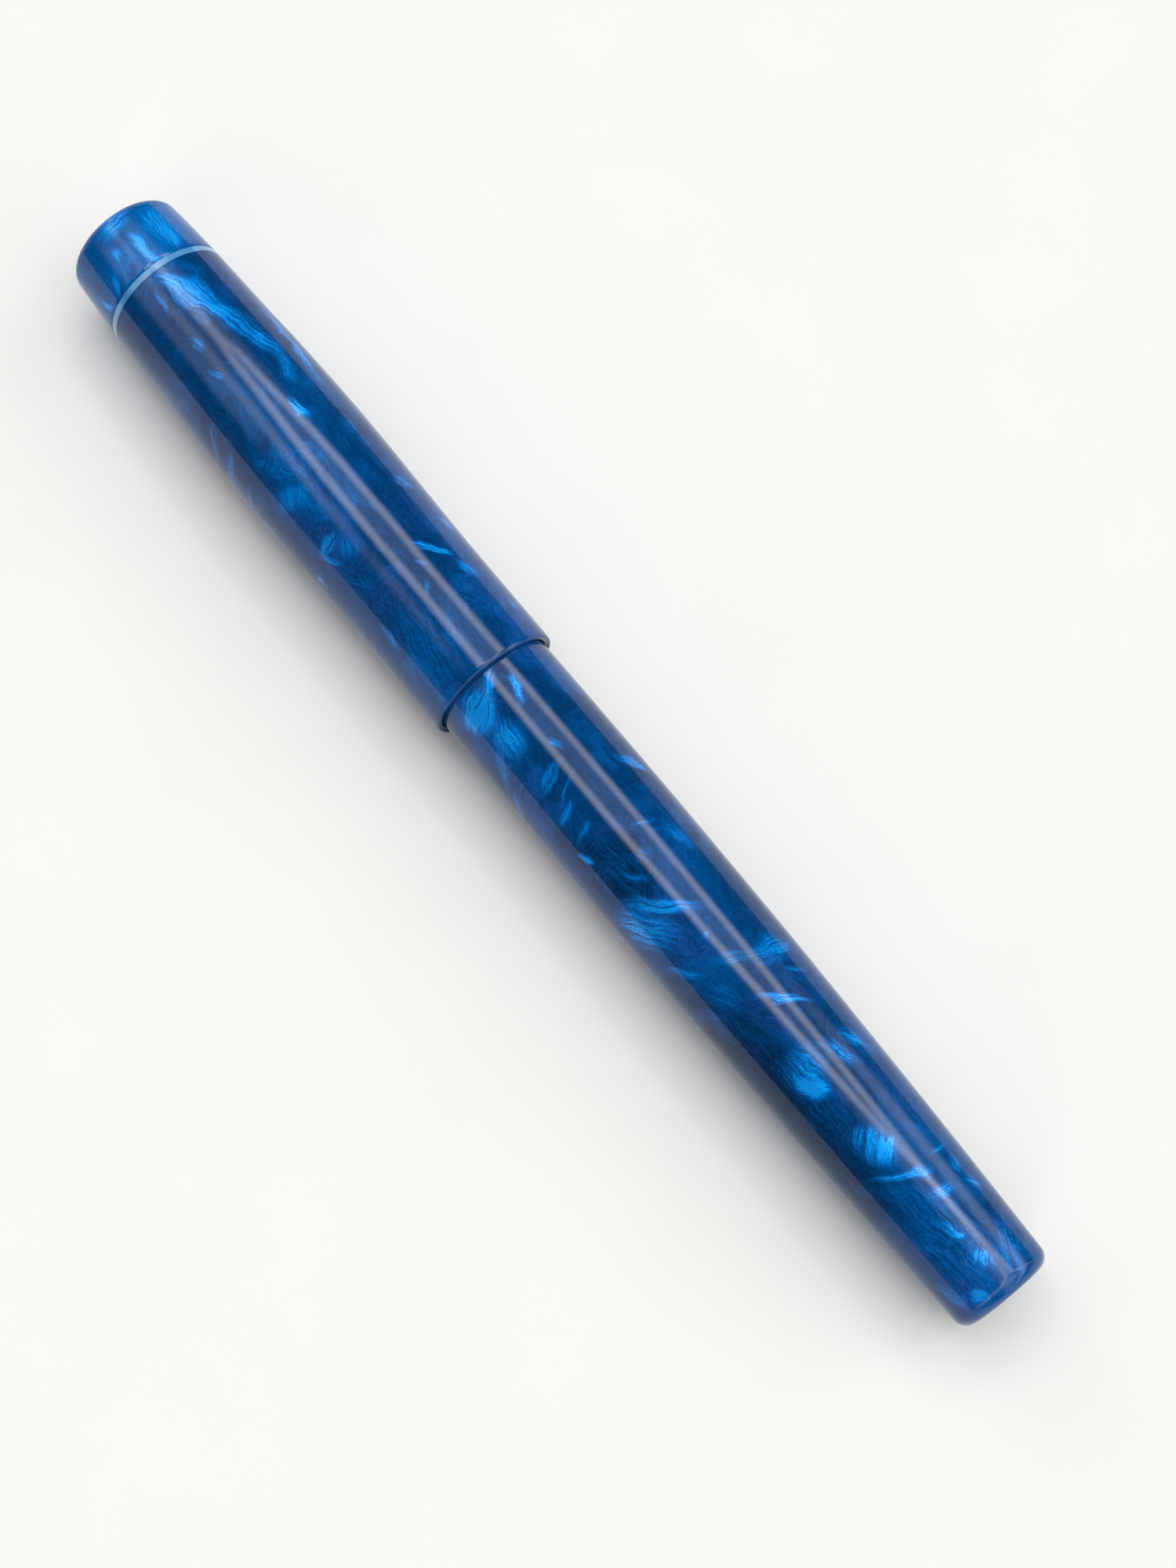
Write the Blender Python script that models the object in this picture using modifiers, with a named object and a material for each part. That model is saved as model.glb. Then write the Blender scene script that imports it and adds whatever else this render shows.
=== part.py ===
"""Clipless screw-cap fountain pen in swirled blue resin, capped and lying on its side.

Sizes are in millimetres and become metres through MM. A station is a place along the pen's
axis, measured from the middle of the capped pen and growing towards the top of the cap. Every
piece is modelled along its own Z axis, and the pen_axis empty lays the whole pen along world X.
"""

import math

import bmesh
import bpy
from mathutils import Matrix, Vector

MM = 0.001

# Driving sizes
LENGTH = 145.0
CAP_LENGTH = 65.6
WIDEST_RADIUS = 7.81
CAP_TOP = LENGTH / 2
BARREL_END = -LENGTH / 2
LIP = CAP_TOP - CAP_LENGTH
FACE_GAP = 0.1
RUNNING_GAP = 0.1

# Outlines: (distance from the cap's top, radius) and (distance behind the lip, radius)
CAP_OUTLINE = (
    (0.0, 6.55),
    (3.0, 6.80),
    (8.6, 7.10),
    (16.9, 7.37),
    (22.3, 7.61),
    (33.0, WIDEST_RADIUS),
    (43.6, 7.64),
    (51.4, 7.49),
    (65.6, 7.47),
)
BARREL_OUTLINE = (
    (-3.0, 6.60),
    (3.0, 6.67),
    (18.5, 6.74),
    (37.7, 6.60),
    (49.4, 6.36),
    (63.0, 6.01),
    (79.4, 5.45),
)
CAP_TOP_FILLET = 1.2
BARREL_END_FILLET = 1.5
LIP_CHAMFER = 0.15

# Cap: body, accent ring, finial and inner cap
RING_MIDDLE = CAP_TOP - 8.6
RING_THICKNESS = 0.7
LIP_BORE = 6.74
CAP_BORE = 6.40
CAP_THREAD_END = 14.9
HEAD_START = 57.3
HEAD_BORE = 5.60
TENON_RADIUS = HEAD_BORE - RUNNING_GAP
TENON_BORE = 4.85
TENON_START = 57.6
TENON_BORE_END = 64.0
INNER_CAP_MOUTH = 16.3
INNER_CAP_RADIUS = CAP_BORE - RUNNING_GAP
INNER_CAP_BORE = 5.75
INNER_CAP_TAPER = (50.0, 56.4)
INNER_CAP_NOSE = TENON_BORE - RUNNING_GAP
INNER_CAP_NOSE_BORE = 4.30
INNER_CAP_END = 63.6
INNER_CAP_WALL = 0.6

# Cap thread: three starts, a quarter turn past one full turn to open
CAP_THREAD_LEAD = 2.4
CAP_THREAD_STARTS = 3
CAP_THREAD_RIDGE = 0.32
CAP_THREAD_ROOT = 5.90
CAP_THREAD_TURNS = 1.1

# Barrel
BARREL_FRONT = 16.0
BARREL_SHOULDER = 8.8
BARREL_BORE = 4.80
BARREL_BORE_END = -65.5
BUSH_POCKET = 5.35
BUSH_START = 6.0
BUSH_END = 12.9
BUSH_RADIUS = BUSH_POCKET - RUNNING_GAP
O_RING_SEAT = 5.50
O_RING_SEAT_START = 15.1
O_RING_MIDDLE = 5.12
O_RING_WIRE = 0.30

# Barrel thread: one start, three turns to open
BARREL_THREAD_LEAD = 1.0
BARREL_THREAD_RIDGE = 0.20
SECTION_TENON = 4.45
BUSH_BORE = 4.98

# Grip section: (station, radius) of its outer surface, front to back
SECTION_OUTLINE = (
    (37.0, 4.75),
    (36.7, 5.05),
    (35.6, 5.15),
    (33.5, 4.98),
    (30.0, 4.85),
    (24.0, 4.98),
    (18.5, 5.24),
    (16.1, 5.35),
)
SECTION_FRONT = 37.0
SECTION_BACK = 6.2
SECTION_SHOULDER = 4.60
SECTION_BORE = 4.15
CONVERTER_SEAT = 3.85
CONVERTER_SEAT_END = 17.6

# Nib unit: housing, feed, nib and tipping
HOUSING_BACK = 17.9
HOUSING_FRONT = 37.6
HOUSING_RADIUS = 3.75
HOUSING_FLANGE = 4.45
HOUSING_BORE = 3.30
HOUSING_BORE_START = 19.6
NIPPLE_END = 11.5
NIPPLE_RADIUS = 1.60
INK_PASSAGE = 0.70
UNIT_THREAD_LEAD = 0.5
UNIT_THREAD_RIDGE = 0.14
NIB_THICKNESS = 0.30
FEED_GAP = 0.12
SLIT_WIDTH = 0.12
BREATHER_RADIUS = 0.65
BREATHER_STATION = 47.0
TIPPING_RADIUS = 0.45
# (station, radius of curvature, half the width along the curve, height of the crest)
NIB_OUTLINE = (
    (25.0, 3.20, 5.4, 3.20),
    (31.0, 3.20, 5.4, 3.20),
    (37.4, 3.22, 5.1, 3.20),
    (39.2, 3.30, 4.5, 3.20),
    (42.4, 3.55, 4.5, 3.15),
    (44.6, 3.65, 4.1, 3.02),
    (47.0, 3.70, 3.4, 2.82),
    (50.0, 3.75, 2.5, 2.48),
    (53.0, 3.70, 1.75, 2.10),
    (56.0, 3.40, 1.10, 1.75),
    (58.2, 2.60, 0.72, 1.52),
    (59.5, 2.00, 0.50, 1.40),
)
# (station, radius) of the feed, which hangs under the crest of the nib
FEED_OUTLINE = (
    (20.0, 2.60),
    (21.0, 2.76),
    (41.0, 2.74),
    (44.6, 2.45),
    (47.0, 2.20),
    (50.0, 1.75),
    (53.0, 1.20),
    (56.0, 0.50),
)
FIN_STATIONS = (42.6, 51.0)
FIN_SLOTS = 9
FIN_SLOT_WIDTH = 0.42

# Converter
CONVERTER_RADIUS = 3.65
CHAMBER_RADIUS = 3.05
CONVERTER_MOUTH = 17.0
MOUTH_BORE = 1.75
CHAMBER_FRONT = 9.6
TUBE_BACK = -19.5
GUIDE_BACK = -24.0
GUIDE_FRONT = -17.6
GUIDE_RADIUS = 3.70
ROD_BACK = -42.5
ROD_FRONT = -17.3
ROD_RADIUS = 2.00
ROD_FLAT = 1.60
ROD_BORE = 1.35
ROD_BORE_FRONT = -18.6
HEAD_FRONT = -12.1
HEAD_FLANGE = 2.85
HEAD_NECK = 1.50
SEAL_BACK = -16.2
SEAL_FRONT = -13.0
SEAL_RADIUS = 3.00
SEAL_WAIST = 2.75
FERRULE_RADIUS = 4.10
FERRULE_BORE = 3.80
FERRULE_FRONT = -17.0
FERRULE_BACK = -45.5
FERRULE_WALL = 0.8
SPINDLE_HOLE = 1.50
COLLAR_RADIUS = 3.20
COLLAR_STATIONS = (-44.55, -43.30)
SPINDLE_TIP = -19.6
SPINDLE_CREST = 1.22
SPINDLE_ROOT = 0.86
SPINDLE_LEAD = 2.5
STUB_RADIUS = 1.30
STUB_END = -50.0
KNOB_FRONT = -45.8
KNOB_BACK = -57.0
KNOB_RADIUS = 3.55
KNOB_HOLE = STUB_RADIUS + RUNNING_GAP
KNOB_FLUTES = 12

# Facets round a full turn
ROUND = 32
SMALL_ROUND = 20
THREAD_STEPS = 15
# The ridges' corners, in turns past the walls' corners, so that none of them meet
THREAD_PHASE = 0.01
MERGE = 0.00001


def clear_scene():
    for obj in list(bpy.data.objects):
        bpy.data.objects.remove(obj)


def add_collection(name):
    collection = bpy.data.collections.new(name)
    bpy.context.scene.collection.children.link(collection)
    return collection


def add_axis(collection):
    """The empty on the pen's axis: its Z is world X, and its X is world up."""
    axis = bpy.data.objects.new("pen_axis", None)
    axis.rotation_mode = "ZYX"
    axis.rotation_euler = (0, math.pi / 2, math.pi)
    axis.location = (0, 0, WIDEST_RADIUS * MM)
    axis.empty_display_size = 0.01
    collection.objects.link(axis)
    return axis


def make_material(name, color, roughness, metallic=0.0, transmission=0.0, coat=0.0):
    material = bpy.data.materials.new(name)
    material.use_nodes = True
    shader = material.node_tree.nodes["Principled BSDF"]
    shader.inputs["Base Color"].default_value = (*color, 1)
    shader.inputs["Roughness"].default_value = roughness
    shader.inputs["Metallic"].default_value = metallic
    shader.inputs["Transmission Weight"].default_value = transmission
    shader.inputs["Coat Weight"].default_value = coat
    material.diffuse_color = (*color, 1)
    return material


def add_object(name, data, material=None):
    """An object of the pen if it has a material, and a helper that isn't rendered if it hasn't."""
    obj = bpy.data.objects.new(name, data)
    if material:
        data.materials.append(material)
        pieces.objects.link(obj)
    else:
        helpers.objects.link(obj)
        obj.hide_render = True
        obj.display_type = "WIRE"
    obj.parent = pen_axis
    return obj


def outline_radius(outline, at):
    """The radius at a distance along an outline, on a smooth curve through its points."""
    last = len(outline) - 2
    index = sum(at > point[0] for point in outline[1:-1])
    before = outline[max(index - 1, 0)]
    start, end = outline[index], outline[index + 1]
    after = outline[min(index + 2, last + 1)]
    span = end[0] - start[0]
    slope_in = (end[1] - before[1]) / (end[0] - before[0])
    slope_out = (after[1] - start[1]) / (after[0] - start[0])
    u = (at - start[0]) / span
    return (
        start[1] * (1 + 2 * u) * (1 - u) ** 2
        + end[1] * u * u * (3 - 2 * u)
        + slope_in * span * u * (1 - u) ** 2
        + slope_out * span * u * u * (u - 1)
    )


def cap_radius(station):
    return outline_radius(CAP_OUTLINE, CAP_TOP - station)


def barrel_radius(station):
    return outline_radius(BARREL_OUTLINE, LIP - station)


def stations_between(first, last, count):
    return [first + (last - first) * i / (count - 1) for i in range(count)]


def fillet(corner, radius, start, end, count=4):
    """Points of a quarter round, its angles in degrees, about a centre set in from the corner."""
    centre = (corner[0] - radius, corner[1] - math.copysign(radius, corner[1]))
    angles = [math.radians(a) for a in stations_between(start, end, count)]
    return [(centre[0] + radius * math.cos(a), centre[1] + radius * math.sin(a)) for a in angles]


def profile_mesh(name, profile, closed):
    mesh = bpy.data.meshes.new(name)
    points = [(radius * MM, 0, station * MM) for radius, station in profile]
    edges = [(i, i + 1) for i in range(len(points) - 1)]
    if closed:
        edges.append((len(points) - 1, 0))
    mesh.from_pydata(points, edges, [])
    return mesh


def turned(name, profile, material=None, steps=ROUND):
    """A solid of revolution. The profile of (radius, station) runs down its outer side."""
    closed = profile[0][0] > 0
    obj = add_object(name, profile_mesh(name, profile, closed), material)
    screw = obj.modifiers.new("Turn", "SCREW")
    screw.axis = "Z"
    screw.angle = 2 * math.pi
    screw.steps = steps
    screw.render_steps = steps
    screw.use_smooth_shade = True
    screw.use_merge_vertices = True
    screw.merge_threshold = MERGE
    return obj


def combine(obj, operation, *others):
    for other in others:
        modifier = obj.modifiers.new(other.name, "BOOLEAN")
        modifier.operation = operation
        modifier.object = other


def mesh_from_curve(name, curve, material=None):
    """The mesh of a curve's tube with its end caps welded on, in place of the curve."""
    source = bpy.data.objects.new(name + "_curve", curve)
    helpers.objects.link(source)
    source.parent = pen_axis
    bpy.context.view_layer.update()
    evaluated = source.evaluated_get(bpy.context.evaluated_depsgraph_get())
    mesh = bpy.data.meshes.new_from_object(evaluated)
    mesh.name = name
    shape = bmesh.new()
    shape.from_mesh(mesh)
    bmesh.ops.remove_doubles(shape, verts=shape.verts, dist=MERGE)
    bmesh.ops.recalc_face_normals(shape, faces=shape.faces)
    shape.to_mesh(mesh)
    shape.free()
    obj = add_object(name, mesh, material)
    obj.matrix_world = source.matrix_world
    bpy.data.objects.remove(source)
    return obj


def tube_curve(name, points, depth, resolution, twist="MINIMUM"):
    """A tube through points of (x, y, z, radius), the radius counted in units of depth."""
    curve = bpy.data.curves.new(name, "CURVE")
    curve.dimensions = "3D"
    curve.twist_mode = twist
    curve.bevel_depth = depth * MM
    curve.bevel_resolution = resolution
    curve.use_fill_caps = True
    spline = curve.splines.new("POLY")
    spline.points.add(len(points) - 1)
    for target, (x, y, z, radius) in zip(spline.points, points):
        target.co = (x * MM, y * MM, z * MM, 1)
        target.radius = radius
    return curve


def thread_ridges(name, radius, start, turns, lead, ridge, starts=1):
    """Helical ridges that stand half proud of a round wall of this radius."""
    found = []
    count = round(turns * THREAD_STEPS) + 1
    for number in range(starts):
        points = []
        for i in range(count):
            turn = i / THREAD_STEPS
            angle = 2 * math.pi * (turn + THREAD_PHASE + number / starts)
            fade = 0.35 if i in (0, count - 1) else 1.0
            place = (radius * math.cos(angle), radius * math.sin(angle), start + lead * turn)
            points.append((*place, fade))
        label = f"{name}_{number + 1}"
        found.append(mesh_from_curve(label, tube_curve(label, points, ridge, 0, "Z_UP")))
    return found


def blocks(name, boxes):
    """One helper of separate boxes, each given by its centre and its full sizes along X, Y and Z."""
    shape = bmesh.new()
    for centre, size in boxes:
        place = Matrix.Translation(Vector(centre) * MM)
        bmesh.ops.create_cube(shape, size=1, matrix=place @ Matrix.Diagonal((*(Vector(size) * MM), 1)))
    mesh = bpy.data.meshes.new(name)
    shape.to_mesh(mesh)
    shape.free()
    return add_object(name, mesh)


def round_helper(name, radius, centre, depth, turn):
    shape = bmesh.new()
    place = Matrix.Translation(Vector(centre) * MM) @ turn
    bmesh.ops.create_cone(
        shape,
        cap_ends=True,
        segments=SMALL_ROUND,
        radius1=radius * MM,
        radius2=radius * MM,
        depth=depth * MM,
        matrix=place,
    )
    mesh = bpy.data.meshes.new(name)
    shape.to_mesh(mesh)
    shape.free()
    return add_object(name, mesh)


def make_cap_body(material):
    top = RING_MIDDLE - RING_THICKNESS / 2 - FACE_GAP
    outer = [(cap_radius(s), s) for s in stations_between(top, LIP + LIP_CHAMFER, 13)]
    profile = outer + [
        (cap_radius(LIP) - LIP_CHAMFER, LIP),
        (LIP_BORE, LIP),
        (LIP_BORE, CAP_THREAD_END),
        (CAP_BORE, CAP_THREAD_END + 0.2),
        (CAP_BORE, HEAD_START),
        (HEAD_BORE, HEAD_START),
        (HEAD_BORE, top),
    ]
    body = turned("cap_body", profile, material)
    ridges = thread_ridges(
        "cap_thread",
        LIP_BORE,
        10.4,
        CAP_THREAD_TURNS,
        CAP_THREAD_LEAD,
        CAP_THREAD_RIDGE,
        CAP_THREAD_STARTS,
    )
    combine(body, "UNION", *ridges)


def make_accent_ring(material):
    low, high = RING_MIDDLE - RING_THICKNESS / 2, RING_MIDDLE + RING_THICKNESS / 2
    inner = TENON_RADIUS + RUNNING_GAP
    profile = [(cap_radius(high), high), (cap_radius(low), low), (inner, low), (inner, high)]
    turned("cap_accent_ring", profile, material)


def make_finial(material):
    base = RING_MIDDLE + RING_THICKNESS / 2 + FACE_GAP
    corner = (cap_radius(CAP_TOP), CAP_TOP)
    profile = [(0, CAP_TOP)]
    profile += fillet(corner, CAP_TOP_FILLET, 90, 10)
    profile += [(cap_radius(s), s) for s in (CAP_TOP - 3.0, base)]
    profile += [
        (TENON_RADIUS, base),
        (TENON_RADIUS, TENON_START),
        (TENON_BORE, TENON_START),
        (TENON_BORE, TENON_BORE_END),
        (0, TENON_BORE_END),
    ]
    turned("cap_finial", profile, material)


def make_inner_cap(material):
    taper_start, taper_end = INNER_CAP_TAPER
    profile = [
        (0, INNER_CAP_END),
        (INNER_CAP_NOSE, INNER_CAP_END),
        (INNER_CAP_NOSE, taper_end),
        (INNER_CAP_RADIUS, taper_start),
        (INNER_CAP_RADIUS, INNER_CAP_MOUTH),
        (INNER_CAP_BORE, INNER_CAP_MOUTH),
        (INNER_CAP_BORE, taper_start),
        (INNER_CAP_NOSE_BORE, taper_end),
        (INNER_CAP_NOSE_BORE, INNER_CAP_END - INNER_CAP_WALL),
        (0, INNER_CAP_END - INNER_CAP_WALL),
    ]
    turned("inner_cap", profile, material)


def make_barrel(material):
    corner = (barrel_radius(BARREL_END), BARREL_END)
    shoulder = BARREL_SHOULDER
    outer = [(barrel_radius(s), s) for s in stations_between(shoulder, BARREL_END + 4.0, 15)]
    profile = [
        (O_RING_SEAT, BARREL_FRONT),
        (CAP_THREAD_ROOT - 0.2, BARREL_FRONT),
        (CAP_THREAD_ROOT, BARREL_FRONT - 0.2),
        (CAP_THREAD_ROOT, shoulder + 0.4),
    ]
    profile += outer
    profile += fillet(corner, BARREL_END_FILLET, -10, -90)
    profile += [
        (0, BARREL_END),
        (0, BARREL_BORE_END),
        (BARREL_BORE, BARREL_BORE_END),
        (BARREL_BORE, BUSH_START - FACE_GAP),
        (BUSH_POCKET, BUSH_START - FACE_GAP),
        (BUSH_POCKET, O_RING_SEAT_START),
        (O_RING_SEAT, O_RING_SEAT_START),
    ]
    barrel = turned("barrel", profile, material)
    ridges = thread_ridges(
        "barrel_cap_thread",
        CAP_THREAD_ROOT,
        11.2,
        CAP_THREAD_TURNS,
        CAP_THREAD_LEAD,
        CAP_THREAD_RIDGE,
        CAP_THREAD_STARTS,
    )
    combine(barrel, "UNION", *ridges)


def make_thread_bush(material):
    profile = [
        (BUSH_RADIUS, BUSH_END),
        (BUSH_RADIUS, BUSH_START),
        (BUSH_BORE, BUSH_START),
        (BUSH_BORE, BUSH_END),
    ]
    bush = turned("barrel_thread_bush", profile, material)
    ridges = thread_ridges("bush_thread", BUSH_BORE, 8.2, 2, BARREL_THREAD_LEAD, BARREL_THREAD_RIDGE)
    combine(bush, "UNION", *ridges)


def make_o_ring(material):
    middle = (O_RING_SEAT_START + BARREL_FRONT) / 2
    angles = [-2 * math.pi * i / 8 + math.pi / 2 for i in range(8)]
    profile = [
        (O_RING_MIDDLE + O_RING_WIRE * math.cos(a), middle + O_RING_WIRE * math.sin(a))
        for a in angles
    ]
    turned("barrel_o_ring", profile, material)


def make_grip_section(material):
    profile = [(radius, station) for station, radius in SECTION_OUTLINE]
    back = SECTION_OUTLINE[-1][0]
    profile += [
        (SECTION_SHOULDER, back),
        (SECTION_SHOULDER, BUSH_END + 0.2),
        (SECTION_TENON, BUSH_END),
        (SECTION_TENON, SECTION_BACK),
        (CONVERTER_SEAT, SECTION_BACK),
        (CONVERTER_SEAT, CONVERTER_SEAT_END),
        (SECTION_BORE, CONVERTER_SEAT_END),
        (SECTION_BORE, SECTION_FRONT),
    ]
    section = turned("grip_section", profile, material)
    outside = thread_ridges(
        "section_thread", SECTION_TENON, 7.4, 2.6, BARREL_THREAD_LEAD, BARREL_THREAD_RIDGE
    )
    inside = thread_ridges("unit_seat_thread", SECTION_BORE, 20.6, 1.4, UNIT_THREAD_LEAD, UNIT_THREAD_RIDGE)
    combine(section, "UNION", *outside, *inside)


def make_nib_housing(material):
    flange_back = SECTION_FRONT + FACE_GAP
    profile = [
        (HOUSING_BORE, HOUSING_FRONT),
        (HOUSING_FLANGE - 0.15, HOUSING_FRONT),
        (HOUSING_FLANGE, HOUSING_FRONT - 0.15),
        (HOUSING_FLANGE, flange_back),
        (HOUSING_RADIUS, flange_back),
        (HOUSING_RADIUS, HOUSING_BACK),
        (NIPPLE_RADIUS, HOUSING_BACK),
        (NIPPLE_RADIUS, NIPPLE_END + 0.6),
        (NIPPLE_RADIUS - 0.4, NIPPLE_END),
        (INK_PASSAGE, NIPPLE_END),
        (INK_PASSAGE, HOUSING_BORE_START),
        (HOUSING_BORE, HOUSING_BORE_START),
    ]
    housing = turned("nib_housing", profile, material, SMALL_ROUND)
    ridges = thread_ridges("unit_thread", HOUSING_RADIUS, 20.3, 2, UNIT_THREAD_LEAD, UNIT_THREAD_RIDGE)
    combine(housing, "UNION", *ridges)


def nib_surface(name, material, columns):
    """The outer skin of the nib: a bent sheet whose arc narrows and flattens towards the tip."""
    shape = bmesh.new()
    rows = []
    for station, radius, half_width, crest in NIB_OUTLINE:
        half_angle = half_width / radius
        angles = stations_between(-half_angle, half_angle, columns)
        rows.append(
            [
                shape.verts.new(
                    Vector((crest - radius + radius * math.cos(a), radius * math.sin(a), station)) * MM
                )
                for a in angles
            ]
        )
    for row, following in zip(rows, rows[1:]):
        for i in range(columns - 1):
            shape.faces.new((row[i], row[i + 1], following[i + 1], following[i]))
    mesh = bpy.data.meshes.new(name)
    shape.to_mesh(mesh)
    shape.free()
    mesh.shade_smooth()
    return add_object(name, mesh, material)


def make_nib(material):
    nib = nib_surface("nib", material, 11)
    sheet = nib.modifiers.new("Sheet", "SOLIDIFY")
    sheet.thickness = NIB_THICKNESS * MM
    sheet.offset = -1
    tip = NIB_OUTLINE[-1][0] + 1
    slit_start = BREATHER_STATION + BREATHER_RADIUS / 2
    middle = (slit_start + tip) / 2
    slit = blocks("nib_slit", [((0, 0, middle), (8, SLIT_WIDTH, tip - slit_start))])
    sideways = Matrix.Rotation(math.pi / 2, 4, "Y")
    hole = round_helper("nib_breather", BREATHER_RADIUS, (2.5, 0, BREATHER_STATION), 4, sideways)
    combine(hole, "UNION", slit)
    combine(nib, "DIFFERENCE", hole)


def make_tipping(material):
    end, _, _, crest = NIB_OUTLINE[-1]
    centre = (crest - 0.35, 0, end + TIPPING_RADIUS + 0.07)
    shape = bmesh.new()
    bmesh.ops.create_uvsphere(
        shape,
        u_segments=12,
        v_segments=8,
        radius=TIPPING_RADIUS * MM,
        matrix=Matrix.Translation(Vector(centre) * MM),
    )
    mesh = bpy.data.meshes.new("nib_tipping")
    shape.to_mesh(mesh)
    shape.free()
    mesh.shade_smooth()
    tipping = add_object("nib_tipping", mesh, material)
    notch_centre = (centre[0] + 0.3, 0, centre[2])
    notch = blocks("tipping_slit", [(notch_centre, (0.7, SLIT_WIDTH, 2))])
    combine(tipping, "DIFFERENCE", notch)


def crest_height(station):
    """The nib's crest above the axis, straight between the points of its outline."""
    for low, high in zip(NIB_OUTLINE, NIB_OUTLINE[1:]):
        if station <= high[0]:
            break
    part = max(0, (station - low[0]) / (high[0] - low[0]))
    return low[3] + (high[3] - low[3]) * part


def make_feed(material):
    points = []
    for station, radius in FEED_OUTLINE:
        top = crest_height(station) - NIB_THICKNESS - FEED_GAP
        height = min(0, top - radius) if station < NIB_OUTLINE[3][0] else top - radius
        points.append((height, 0, station, radius))
    feed = mesh_from_curve("feed", tube_curve("feed", points, 1, 6), material)
    feed.data.shade_smooth()
    feed.data.set_sharp_from_angle(angle=math.radians(40))
    low, high = FIN_STATIONS
    slots = [((-2.2, 0, s), (4.4, 8, FIN_SLOT_WIDTH)) for s in stations_between(low, high, FIN_SLOTS)]
    combine(feed, "DIFFERENCE", blocks("feed_fin_slots", slots))


def make_converter_tube(material):
    profile = [
        (MOUTH_BORE, CONVERTER_MOUTH),
        (CONVERTER_RADIUS - 0.3, CONVERTER_MOUTH),
        (CONVERTER_RADIUS, CONVERTER_MOUTH - 0.4),
        (CONVERTER_RADIUS, TUBE_BACK),
        (CHAMBER_RADIUS, TUBE_BACK),
        (CHAMBER_RADIUS, CHAMBER_FRONT - 0.6),
        (CHAMBER_RADIUS - 0.6, CHAMBER_FRONT),
        (MOUTH_BORE, CHAMBER_FRONT),
    ]
    turned("converter_tube", profile, material, SMALL_ROUND)


def make_ferrule(material):
    profile = [
        (FERRULE_BORE, FERRULE_FRONT),
        (FERRULE_RADIUS - 0.15, FERRULE_FRONT),
        (FERRULE_RADIUS, FERRULE_FRONT - 0.15),
        (FERRULE_RADIUS, FERRULE_BACK + 0.3),
        (FERRULE_RADIUS - 0.3, FERRULE_BACK),
        (SPINDLE_HOLE, FERRULE_BACK),
        (SPINDLE_HOLE, FERRULE_BACK + FERRULE_WALL),
        (FERRULE_BORE, FERRULE_BACK + FERRULE_WALL),
    ]
    turned("converter_ferrule", profile, material, SMALL_ROUND)


def make_rod_guide(material):
    step = TUBE_BACK - FACE_GAP
    plug = CHAMBER_RADIUS - RUNNING_GAP
    profile = [
        (0, GUIDE_FRONT),
        (plug, GUIDE_FRONT),
        (plug, step),
        (GUIDE_RADIUS, step),
        (GUIDE_RADIUS, GUIDE_BACK),
        (0, GUIDE_BACK),
    ]
    guide = turned("rod_guide", profile, material, SMALL_ROUND)
    middle = (GUIDE_FRONT + GUIDE_BACK) / 2
    depth = GUIDE_FRONT - GUIDE_BACK + 2
    hole = keyed_bar("guide_hole", middle, depth, ROD_RADIUS + RUNNING_GAP, ROD_FLAT + RUNNING_GAP)
    combine(guide, "DIFFERENCE", hole)


def keyed_bar(name, middle, depth, radius, flat, material=None):
    """A round bar with two flats, which can slide through a hole of its own shape but not turn."""
    low, high = middle - depth / 2, middle + depth / 2
    profile = [(0, high), (radius, high), (radius, low), (0, low)]
    bar = turned(name, profile, material, SMALL_ROUND)
    sides = [((side * (flat + radius), 0, middle), (2 * radius, 9, depth + 1)) for side in (-1, 1)]
    combine(bar, "DIFFERENCE", blocks(name + "_flats", sides))
    return bar


def make_piston_rod(material):
    middle = (ROD_BACK + ROD_FRONT) / 2
    rod = keyed_bar("piston_rod", middle, ROD_FRONT - ROD_BACK, ROD_RADIUS, ROD_FLAT, material)
    low = ROD_BACK - 1
    bore_middle, depth = (low + ROD_BORE_FRONT) / 2, ROD_BORE_FRONT - low
    bore = round_helper("rod_bore", ROD_BORE, (0, 0, bore_middle), depth, Matrix.Identity(4))
    combine(rod, "DIFFERENCE", bore)


def make_piston_head(material):
    back = ROD_FRONT + FACE_GAP
    profile = [
        (0, HEAD_FRONT),
        (HEAD_FLANGE - 0.5, HEAD_FRONT),
        (HEAD_FLANGE, HEAD_FRONT - 0.4),
        (HEAD_FLANGE, SEAL_FRONT + FACE_GAP),
        (HEAD_NECK, SEAL_FRONT + FACE_GAP),
        (HEAD_NECK, SEAL_BACK - FACE_GAP),
        (HEAD_FLANGE, SEAL_BACK - FACE_GAP),
        (HEAD_FLANGE, back),
        (0, back),
    ]
    turned("piston_head", profile, material, SMALL_ROUND)


def make_piston_seal(material):
    middle = (SEAL_FRONT + SEAL_BACK) / 2
    bore = HEAD_NECK + RUNNING_GAP
    profile = [
        (bore, SEAL_FRONT),
        (SEAL_RADIUS - 0.15, SEAL_FRONT),
        (SEAL_RADIUS, SEAL_FRONT - 0.4),
        (SEAL_WAIST, middle),
        (SEAL_RADIUS, SEAL_BACK + 0.4),
        (SEAL_RADIUS - 0.15, SEAL_BACK),
        (bore, SEAL_BACK),
    ]
    turned("piston_seal", profile, material, SMALL_ROUND)


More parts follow.
